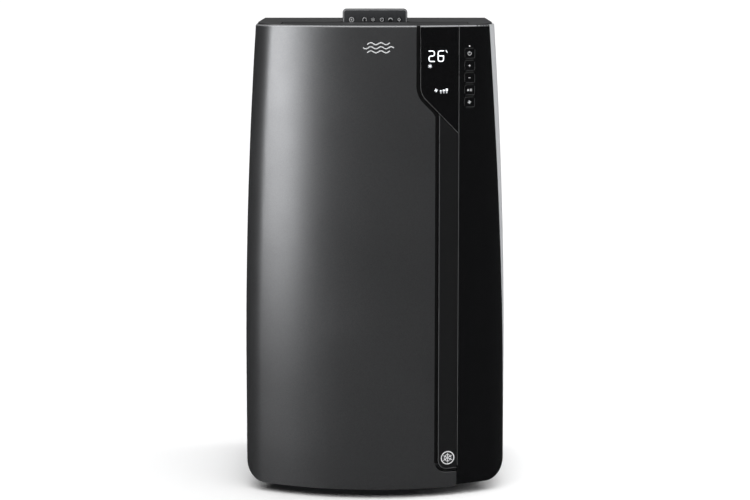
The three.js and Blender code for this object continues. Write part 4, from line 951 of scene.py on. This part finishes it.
def snowflake(cx, cz, size, width):
    strokes = []
    for k in range(6):
        turn = math.radians(30 + 60 * k)
        ux, uz = math.cos(turn), math.sin(turn)
        strokes.append([(cx + ux * size * 0.14, cz + uz * size * 0.14),
                        (cx + ux * size, cz + uz * size)])
        for side in (-1, 1):
            branch = turn + side * math.radians(50)
            root = (cx + ux * size * 0.52, cz + uz * size * 0.52)
            tip = (root[0] + math.cos(branch) * size * 0.34,
                   root[1] + math.sin(branch) * size * 0.34)
            strokes.append([root, tip])
    return [[strokeOutline(stroke, width)] for stroke in strokes]


def star(cx, cz, size, width):  # six plain arms
    arms = []
    for k in range(3):
        turn = math.radians(30 + 60 * k)
        a, b = size * math.cos(turn), size * math.sin(turn)
        arms.append([strokeOutline([(cx - a, cz - b), (cx + a, cz + b)], width)])
    return arms


def fanBlades(cx, cz, size):
    shapes = [[circle(cx, cz, size * 0.16, 12)]]
    for k in range(4):
        turn = math.radians(90 * k)
        blade = []
        for i in range(14):
            angle = math.pi * 2 * i / 14
            a = size * 0.58 + size * 0.40 * math.cos(angle)
            b = size * 0.12 + size * 0.24 * math.sin(angle)
            blade.append((cx + a * math.cos(turn) - b * math.sin(turn),
                          cz + a * math.sin(turn) + b * math.cos(turn)))
        shapes.append([blade])
    return shapes


def toSkin(shapes):
    return [[toSheet(outline) for outline in outlines] for outlines in shapes]


def makeDisplayMarks():
    d = display
    strokes = []
    for k, kind in enumerate((2, 6)):
        strokes += digitStrokes(kind, d["left"] + k * d["gap"], d["low"], d["width"], d["height"])
    digits = [[strokeOutline(stroke, d["stroke"])] for stroke in strokes]
    tick = [[strokeOutline(d["tick"], d["tickStroke"])]]
    lit = onSkin("display_digits", toSkin(digits + tick))
    finishPiece(lit, "cabinet", "glow")
    flake = onSkin("display_snowflake", toSkin(star(*d["star"])))
    finishPiece(flake, "cabinet", "glow")
    speed = {"x": 0.1002, "low": 0.6408, "width": 0.0030, "pitch": 0.0046,
             "heights": (0.0014, 0.0026, 0.0040), "dashLow": 0.6384, "dash": 0.0022,
             "fan": (0.0942, 0.6425, 0.0028)}
    bars = []
    for k, height in enumerate(speed["heights"]):
        x = speed["x"] + k * speed["pitch"]
        bars.append([roundedRect(x + speed["width"] / 2, speed["low"] + height / 2,
                                 speed["width"], height, 0.0005, 3)])
    for k in range(3):
        x = speed["x"] + 0.0005 + k * speed["pitch"]
        bars.append([roundedRect(x + speed["dash"] / 2, speed["dashLow"], speed["dash"], 0.0007,
                                 0.0003, 2)])
    marks = onSkin("display_fan_speed", toSkin(fanBlades(*speed["fan"]) + bars))
    finishPiece(marks, "cabinet", "glow")


def powerMark(cx, cz, size, width):
    ring = arcPoints(cx, cz, size, 125, 415, 22)
    bar = [(cx, cz + size * 0.25), (cx, cz + size * 1.2)]
    return [[strokeOutline(ring, width)], [strokeOutline(bar, width)]]


def modeMark(cx, cz, size, width):  # a drop beside a sun: the generic mark for a change of mode
    drop = [(cx - size, cz + size * 0.9)]
    drop += arcPoints(cx - size, cz - size * 0.2, size * 0.55, 150, 390, 14)
    rays = []
    for k in range(8):
        turn = math.radians(45 * k)
        rays.append([strokeOutline([(cx + size + math.cos(turn) * size * r,
                                     cz + math.sin(turn) * size * r) for r in (0.62, 0.95)],
                                   width * 0.7)])
    return [[drop], [circle(cx + size, cz, size * 0.38, 14)], *rays]


def makeKeyMarks():
    m = {"size": 0.0018, "stroke": 0.0007, "x": keys["x"] - 0.0004, "ring": 0.0027,
         "catchX": 0.0079, "catchLow": 0.0072, "catchHigh": 0.0058, "catchLeft": 0.0062,
         "catchCorner": 0.0024, "catchStroke": 0.0003, "lampZ": 0.7097, "lamp": 0.0009}
    x = m["x"]
    plus = [[strokeOutline([(x - m["size"] * 0.8, 0), (x + m["size"] * 0.8, 0)], m["stroke"])],
            [strokeOutline([(x, -m["size"] * 0.8), (x, m["size"] * 0.8)], m["stroke"])]]
    drawn = {"power": powerMark(x, 0, m["ring"], m["stroke"]), "warmer": plus,
             "cooler": plus[:1], "mode": modeMark(x, 0, m["size"] * 1.25, m["stroke"]),
             "fan": fanBlades(x, 0, m["size"] * 1.6)}
    for k, use in enumerate(keys["names"]):
        shapes = [[[(a, b + keyZ(k)) for a, b in outline] for outline in outlines]
                  for outlines in drawn[use]]
        mark = onSkin(f"key_{use}_mark", toSkin(shapes), keys["proud"] + 0.00005)
        finishPiece(mark, f"key_{use}", "printWhite")
        # painted highlight: a pale stroke where light catches the right and lower edges of a key
        right, low = keys["x"] + m["catchX"], keyZ(k) - m["catchLow"]
        ends = (right, keyZ(k) + m["catchHigh"]), (keys["x"] - m["catchLeft"], low)
        path = roundedPath([ends[0], (right, low), ends[1]], m["catchCorner"])
        catch = onSkin(f"key_{use}_edge", toSkin([[strokeOutline(path, m["catchStroke"])]]),
                       keys["proud"] + 0.00005)
        finishPiece(catch, f"key_{use}", "dimPaintedHighlight")
    lamp = onSkin("power_lamp", toSkin([[circle(x, m["lampZ"], m["lamp"], 16)]]))
    finishPiece(lamp, "cabinet", "glowDim")


def makeBadges():  # plain generic marks: moving air on the panel, a snowflake on the inlay
    air = {"x": 0.0053, "z": 0.7085, "length": 0.046, "rise": 0.0016, "pitch": 0.0062,
           "stroke": 0.0016, "taper": 0.006, "wave": 0.0155}
    turn = 2 * math.pi / air["wave"]
    waves = []
    for k in (-1, 0, 1):
        half = air["length"] / 2 - abs(k) * air["taper"]
        xs = spread(air["x"] - half, air["x"] + half, 0.0012)
        waves.append([strokeOutline([(x, air["z"] + k * air["pitch"]
                                      + air["rise"] * math.sin(turn * (x - air["x"])))
                                     for x in xs], air["stroke"])])
    mark = onSkin("airflow_mark", toSkin(waves))
    finishPiece(mark, "cabinet", "printWhite")
    badge = {"x": 0.0155, "z": 0.0175, "outer": 0.0108, "inner": 0.0092, "flake": 0.0072,
             "stroke": 0.0011}
    cx, cz = stripLeft + badge["x"], stripShape["bottom"] + badge["z"]
    ring = [[circle(cx, cz, badge["outer"], 40), circle(cx, cz, badge["inner"], 40)]]
    flake = snowflake(cx, cz, badge["flake"], badge["stroke"])
    mark = onSkin("snowflake_badge", toSkin(ring + flake))
    finishPiece(mark, "cabinet", "printWhite")


makeTopEdgeHighlight()
makeGroovePaintedShade()
makeEdgeHighlights()
makeDisplayMarks()
makeKeyMarks()
makeBadges()
print("edges and marks made")


# mouldings: a soft-edged copy of each solid takes its place
softParts = [
    ("top_cover", "cabinet", "coverGrey", 0.0007), ("outlet_flap", "outlet_flap", "flapGrey", 0.0006),
    ("outlet_guard", "cabinet", "mattBlack", 0.0003), ("remote_dock", "cabinet", "mattBlack", 0.0004),
    ("back_panel", "cabinet", "silver", 0.0006), ("handle_cup_left", "cabinet", "silver", 0.0012),
    ("handle_cup_right", "cabinet", "silver", 0.0012),
    ("intake_grille", "intake_grille", "silver", 0.0007),
    ("condenser_grille", "cabinet", "silver", 0.0007),
    ("air_filter", "intake_grille", "filterMesh", 0.0004),
    ("remote_battery_cover", "remote_battery_cover", "remoteGrey", 0.0004),
]


def makeSoftParts():
    for nodeName, body, slotName, width in softParts:
        part = softCopy(nodeName, width)
        finishPiece(part, body, slotName, [nodeName])


makeSoftParts()
print("mouldings softened")


# round parts are spun from half of their section
def spunPiece(name, profile, centre, axis, steps=64):
    # profile: (distance from the axis, place along it), a closed outline
    along = {"X": Vector((1, 0, 0)), "Y": Vector((0, 1, 0)), "Z": Vector((0, 0, 1))}[axis]
    out = Vector((0, 0, 1)) if axis != "Z" else Vector((1, 0, 0))
    outline = [Vector(centre) + along * a + out * r for r, a in profile]
    piece = toMesh(outlineObject(name, "3D", [outline]))
    editAll(piece,
            lambda: bpy.ops.mesh.spin(steps=steps, dupli=False, angle=2 * math.pi,
                                      center=centre, axis=along),
            lambda: bpy.ops.mesh.remove_doubles(threshold=2e-6),
            lambda: bpy.ops.mesh.dissolve_degenerate(threshold=1e-6),
            lambda: bpy.ops.mesh.normals_make_consistent(inside=False))
    return smooth(piece, 32)


def lipOutline(inner, outer, low, high, r, steps=3):  # a ring's section with rounded corners
    cx, cz = (inner + outer) / 2, (low + high) / 2
    return roundedRect(cx, cz, outer - inner, high - low, r, steps)


def makeCollar():
    c = {"bore": 0.064, "wall": 0.003, "flange": 0.078}
    low, high, centre = boxCentre("exhaust_collar")
    pipe = spunPiece("exhaust_pipe", lipOutline(c["bore"], c["bore"] + c["wall"], low.y, high.y,
                                                0.0011), centre, "Y", 96)
    face = cabinet["back"]
    flange = spunPiece("exhaust_flange", lipOutline(c["bore"] + 0.001, c["flange"], face + 0.0005,
                                                    face + 0.0034, 0.0012), centre, "Y", 96)
    bead = spunPiece("exhaust_bead", lipOutline(c["bore"] + 0.002, c["bore"] + c["wall"] + 0.0009,
                                                high.y - 0.0030, high.y - 0.0012, 0.0006),
                     centre, "Y", 96)
    collar = joinAll([pipe, flange, bead], "exhaust_collar_ring")
    finishPiece(collar, "cabinet", "silver", ["exhaust_collar"])


def makeBush():
    low, high, centre = boxCentre("cord_bush")
    b = {"bore": 0.0036, "body": 0.009, "flange": 0.013, "neck": 0.0048, "rib": 0.0064,
         "ribStep": 0.0006, "ribPitch": 0.0018}
    face, bore = cabinet["back"], b["bore"]
    body = lipOutline(bore, b["body"], low.y, face + 0.0012, 0.0005)
    flange = lipOutline(bore + 0.001, b["flange"], face + 0.0005, face + 0.0026, 0.0009)
    parts = [spunPiece("bush_body", body, centre, "Y", 40),
             spunPiece("bush_flange", flange, centre, "Y", 40)]
    for k in range(3):  # ribs of the strain relief
        y = face + 0.0024 + k * b["ribPitch"]
        r = b["rib"] - b["ribStep"] * k
        parts.append(spunPiece(f"bush_rib_{k}", lipOutline(bore, r, y, y + 0.0012, 0.0004, 2),
                               centre, "Y", 40))
    parts.append(spunPiece("bush_neck", lipOutline(bore, b["neck"], face, high.y, 0.0004, 2),
                           centre, "Y", 40))
    bush = joinAll(parts, "cord_bush_rubber")
    finishPiece(bush, "cabinet", "mattBlack", ["cord_bush"])


def makeDrainPlug():
    low, high, centre = boxCentre("drain_plug")
    headR = (high.x - low.x) / 2
    grip = {"ribs": 20, "radius": 0.00065, "at": 0.965 * headR}
    face = cabinet["back"] + 0.0032
    head = [(0.0, face), *arcPoints(headR - 0.0008, face + 0.0008, 0.0008, 270, 360, 3),
            *arcPoints(headR - 0.0022, high.y - 0.0022, 0.0022, 0, 90, 4), (0.0, high.y)]
    parts = [spunPiece("plug_head", head, centre, "Y", 56)]
    stem = [(0.0, low.y), (0.0042, low.y), (0.0048, low.y + 0.0008), (0.0048, face + 0.0004),
            (0.0, face + 0.0004)]
    parts.append(spunPiece("plug_stem", stem, centre, "Y", 32))
    for k in range(grip["ribs"]):  # grip ribs round the head
        turn = 2 * math.pi * k / grip["ribs"]
        bpy.ops.mesh.primitive_cylinder_add(
            vertices=8, radius=grip["radius"], depth=high.y - face - 0.0026,
            rotation=(math.pi / 2, 0, 0),
            location=(centre[0] + grip["at"] * math.cos(turn), (face + high.y) / 2 - 0.0004,
                      centre[2] + grip["at"] * math.sin(turn)))
        parts.append(smooth(applyPlace(bpy.context.object)))
    plug = joinAll(parts, "drain_plug_cap")
    finishPiece(plug, "drain_plug", "mattBlack", ["drain_plug"])


def makeCastors():
    c = {"radius": 0.020, "inner": 0.0055, "width": 0.011, "tread": 0.0032, "dish": 0.0025,
         "rim": 0.0142, "hub": 0.0052}
    for corner in ("front_left", "front_right", "rear_left", "rear_right"):
        low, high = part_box(f"castor_wheels_{corner}")
        centre = tuple((low + high) / 2)
        parts = []
        for side in (-1, 1):
            a, b = c["inner"], c["inner"] + c["width"]
            section = [(0.0, a), (c["radius"] - c["tread"], a),
                       *arcPoints(c["radius"] - c["tread"], a + c["tread"], c["tread"], -90, 0, 4),
                       *arcPoints(c["radius"] - c["tread"], b - c["tread"], c["tread"], 0, 90, 4),
                       (c["rim"] + 0.0006, b), (c["rim"], b - 0.0006),
                       (c["rim"] - 0.0006, b - c["dish"]),
                       (c["hub"] + 0.0010, b - c["dish"]), (c["hub"], b - 0.0012),
                       (c["hub"] - 0.0008, b - 0.0006), (0.0, b - 0.0006)]
            section = [(r, side * along) for r, along in section]
            parts.append(spunPiece(f"wheel_{side}", section, centre, "X", 48))
        parts.append(spunPiece("axle", [(0.0, -0.015), (0.003, -0.015), (0.003, 0.015), (0.0, 0.015)],
                               centre, "X", 20))
        wheels = joinAll(parts, f"castor_tyres_{corner}")
        finishPiece(wheels, f"castor_wheels_{corner}", "tread",
                    [f"castor_wheels_{corner}"])
        fork = softCopy(f"castor_fork_{corner}", 0.0006)
        finishPiece(fork, f"castor_fork_{corner}", "mattBlack",
                    [f"castor_fork_{corner}"])


def makeScrews():  # pan-head screws that hold the back panel
    s = {"radius": 0.0031, "height": 0.0014, "x": 0.139, "z": (0.056, 0.30, 0.448, 0.686),
         "cross": (0.0034, 0.0011, 0.0007)}
    face = cabinet["back"]
    profile = [(0.0, face - 0.0004), (s["radius"], face - 0.0004), (s["radius"], face + 0.0003),
               *arcPoints(s["radius"] - 0.0011, face + s["height"] - 0.0011, 0.0011, 0, 90, 3),
               (0.0, face + s["height"])]
    pieces = []
    for z in s["z"]:
        for side in (-1, 1):
            x = side * s["x"]
            head = spunPiece("screw", profile, (x, 0, z), "Y", 28)
            for turn in (0.35, 0.35 + math.pi / 2):
                bpy.ops.mesh.primitive_cube_add(size=1, location=(x, face + s["height"], z),
                                                rotation=(0, turn, 0),
                                                scale=s["cross"])
                cutAway(head, applyPlace(bpy.context.object))
            pieces.append(smooth(head, 30))
    screws = joinAll(pieces, "back_screws")
    finishPiece(screws, "cabinet", "zinc")


def makeNetting():  # the fine mesh of the dust filter
    low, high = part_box("air_filter")
    bpy.ops.mesh.primitive_grid_add(x_subdivisions=24, y_subdivisions=18, size=1)
    net = bpy.context.object
    net.name = "filter_netting"
    net.scale = (high.x - low.x - 0.006, high.z - low.z - 0.006, 1)
    net.rotation_euler = (math.pi / 2, 0, 0)
    net.location = ((low.x + high.x) / 2, low.y + 0.0012, (low.z + high.z) / 2)
    applyPlace(net)
    thick = net.modifiers.new("thickness", "SOLIDIFY")
    thick.thickness = 0.0003
    applyModifiers(net)
    finishPiece(net, "intake_grille", "netting")


makeCollar()
makeBush()
makeDrainPlug()
makeCastors()
makeScrews()
makeNetting()
print("round parts and fittings made")


# the remote control
remote = {"corner": 0.006, "bevel": 0.0012, "wellRadius": 0.0046, "wellDepth": 0.0018,
          "rim": 0.0011}


def makeRemote():
    low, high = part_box("remote_body")
    size, centre = high - low, (low + high) / 2
    bpy.ops.mesh.primitive_cube_add(size=1, location=centre, scale=size)
    body = applyPlace(bpy.context.object)
    body.name = "remote_shell"
    mesh = body.data
    for stage, amount, segments in (("corners", remote["corner"], 8), ("faces", remote["bevel"], 3)):
        makeActive(body)
        bpy.ops.object.mode_set(mode="EDIT")
        bpy.ops.mesh.select_mode(type="EDGE")
        bpy.ops.mesh.select_all(action="DESELECT")
        bpy.ops.object.mode_set(mode="OBJECT")
        for edge in mesh.edges:
            a, b = (mesh.vertices[i].co for i in edge.vertices)
            across = abs(a.y - b.y) > size.y / 2
            flat = abs(a.y - b.y) < 1e-6 and min(abs(a.y - low.y), abs(a.y - high.y)) < 1e-6
            edge.select = across if stage == "corners" else flat
        bpy.ops.object.mode_set(mode="EDIT")
        bpy.ops.mesh.bevel(offset=amount, segments=segments, profile=0.5, affect="EDGES")
        bpy.ops.object.mode_set(mode="OBJECT")
    cutters = []
    for k in range(6):
        keyLow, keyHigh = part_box(f"remote_key_{k + 1}")
        middle = (keyLow + keyHigh) / 2
        bpy.ops.mesh.primitive_cylinder_add(
            vertices=40, radius=remote["wellRadius"], depth=2 * remote["wellDepth"],
            rotation=(math.pi / 2, 0, 0), location=(middle.x, low.y, middle.z))
        cutters.append(applyPlace(bpy.context.object))
    coverLow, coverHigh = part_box("remote_battery_cover")
    bpy.ops.mesh.primitive_cube_add(
        size=1, location=(0, high.y, (coverLow.z + high.z) / 2 + 0.0005),
        scale=(coverHigh.x - coverLow.x + 0.0008, 0.0032, high.z - coverLow.z + 0.0018))
    cutters.append(applyPlace(bpy.context.object))
    cutAway(body, joinAll(cutters, "cutter"))
    finishPiece(smooth(body, 30), "remote", "remoteGrey", ["remote_body"])
    # painted highlight: a thin pale ring round the remote's face, where its bevel catches the light
    rim = remote["rim"]
    w, h = size.x - 2 * remote["bevel"], size.z - 2 * remote["bevel"]
    ring = flatSheet("remote_rim_highlight", [
        roundedRect(0, 0, w, h, remote["corner"] - remote["bevel"], 8),
        roundedRect(0, 0, w - 2 * rim, h - 2 * rim, remote["corner"] - remote["bevel"] - rim, 8)],
        0.0004, 0.0)
    ring.location = (centre.x, low.y - 0.0001, centre.z)
    applyPlace(ring)
    finishPiece(smooth(ring), "remote", "rimLight")


def remoteMarks(x, z):  # one generic mark for each key, in the order of the row
    r, w = 0.0030, 0.0010
    hollow = [[circle(x[0], z, r * 1.35, 28), circle(x[0], z, r * 0.95, 28)],
              [circle(x[0], z, r * 0.5, 16)]]
    swing = [[strokeOutline(arcPoints(x[1], z, r, -40, 220, 16), w)]]
    flake = snowflake(x[2], z, r, 0.0006)
    timer = [[circle(x[3], z, r, 24), circle(x[3], z, r * 0.72, 24)],
             [strokeOutline([(x[3], z), (x[3], z + r * 0.5)], 0.0006)]]
    arch = [[strokeOutline(arcPoints(x[4], z - r * 0.2, r, 10, 170, 14), w * 1.3)]]
    diamond = [[[(x[5], z + r), (x[5] - r, z), (x[5], z - r), (x[5] + r, z)],
                [(x[5], z + r * 0.5), (x[5] - r * 0.5, z), (x[5], z - r * 0.5),
                 (x[5] + r * 0.5, z)]]]
    return [hollow, swing, flake, timer, arch, diamond]


def makeRemoteKeys():
    boxes = [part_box(f"remote_key_{k + 1}") for k in range(6)]
    xs = [(low.x + high.x) / 2 for low, high in boxes]
    z = (boxes[0][0].z + boxes[0][1].z) / 2
    front = boxes[0][0].y
    radius = (boxes[0][1].x - boxes[0][0].x) / 2
    for k, drawn in enumerate(remoteMarks(xs, z)):
        low, high = boxes[k]
        section = [(0.0, high.y), (radius - 0.0004, high.y), (radius, high.y - 0.0004),
                   *arcPoints(radius - 0.0007, front + 0.0007, 0.0007, 0, -90, 4), (0.0, front)]
        cap = spunPiece(f"remote_key_{k + 1}_cap", section, (xs[k], 0, z), "Y", 40)
        finishPiece(cap, f"remote_key_{k + 1}", "keyDark",
                    [f"remote_key_{k + 1}"])
        sheets = [flatSheet("mark", outlines, printThickness, 0.0) for outlines in drawn]
        mark = joinAll(sheets, f"remote_key_{k + 1}_mark")
        mark.location = (0, front - 0.00008, 0)
        applyPlace(mark)
        finishPiece(smooth(mark), f"remote_key_{k + 1}", "printWhite")


makeRemote()
makeRemoteKeys()
print("remote made")


# what stays as the solid has it takes its finish here
nodeFinish = {
    # the front frame takes the near black that also paints the shade in the grooves
    "base_tray": "zinc", "front_frame": "gapShadeBlack", "outlet_duct": "foam", "flap_motor": "zinc",
    "display_board": "board", "control_box": "zinc", "cool_scroll": "foam", "hot_scroll": "foam",
    "cool_blower_wheel": "satinBlack", "hot_blower_wheel": "satinBlack",
    "cool_fan_motor": "zinc", "hot_fan_motor": "zinc", "exhaust_duct": "foam",
    "evaporator_coil": "fins", "condenser_coil": "fins", "compressor": "enamel",
    "suction_line": "copper", "discharge_line": "copper", "bulkhead_tray": "foam",
    "water_float": "printWhite",
}
for nodeName, finishName in nodeFinish.items():
    dress(nodes[nodeName], finishName)
print("solids dressed:", len(nodeFinish))


# studio
def makeFloor():
    deselectAll()
    bpy.ops.mesh.primitive_plane_add(size=120, location=(0, 0, 0))
    floor = bpy.context.object
    floor.name = "studio_floor"
    floor.data.materials.append(newFinish("paleFloor", {
        "color": (0.97, 0.97, 0.97), "rough": (0.75, 0.85), "dust": 0.0, "drift": 0.004}))
    floor.visible_glossy = False
    return floor


def addLamp(name, kind, place, aim, power, **values):
    data = bpy.data.lights.new(name, kind)
    data.energy = power
    for key, value in values.items():
        setattr(data, key, value)
    lamp = bpy.data.objects.new(name, data)
    lamp.location = place
    lamp.rotation_euler = (Vector(aim) - Vector(place)).to_track_quat("-Z", "Y").to_euler()
    bpy.context.scene.collection.objects.link(lamp)
    return lamp


studio = {"sun": 3.75, "sunAngle": 100, "sunAt": (0, -0.6, 3),
          "left": 32, "leftAt": (-1.6, -1.25, 1.0), "leftAim": (-0.05, -0.1, 0.45),
          "right": 10, "rightAt": (1.5, 0.25, 1.0), "rightAim": (0.15, 0.0, 0.45),
          "worldGlow": 0.032}


def makeStudio():
    s = studio
    makeFloor()
    addLamp("overhead", "SUN", s["sunAt"], (0, 0, 0), s["sun"],
            angle=math.radians(s["sunAngle"]))
    left = addLamp("leftBox", "AREA", s["leftAt"], s["leftAim"], s["left"],
                   shape="RECTANGLE", size=0.8, size_y=1.75)
    left.visible_diffuse = False
    right = addLamp("rightBox", "AREA", s["rightAt"], s["rightAim"], s["right"],
                    shape="RECTANGLE", size=0.8, size_y=1.6)
    right.visible_glossy = False
    world = bpy.data.worlds.new("studio")
    bpy.context.scene.world = world
    world.use_nodes = True
    tree = world.node_tree
    shine = tree.nodes["Background"]
    seen = addNode(tree, "ShaderNodeLightPath").outputs["Is Camera Ray"]
    feed(tree, shine, {"Strength": mapRange(tree, seen, s["worldGlow"], 1.0),
                       "Color": (1, 1, 1, 1)})
    bpy.context.scene.view_settings.view_transform = "Standard"


view = {"distance": 3.395, "height": 0.857, "tilt": 8.19, "lens": 100.05}


def makeCamera():
    data = bpy.data.cameras.new("camera")
    data.lens = view["lens"]
    data.sensor_width = 36
    data.clip_end = 200
    camera = bpy.data.objects.new("camera", data)
    camera.location = (0, -view["distance"], view["height"])
    camera.rotation_euler = (math.radians(90 - view["tilt"]), 0, 0)
    bpy.context.scene.collection.objects.link(camera)
    bpy.context.scene.camera = camera


makeStudio()
makeCamera()
print("studio set")
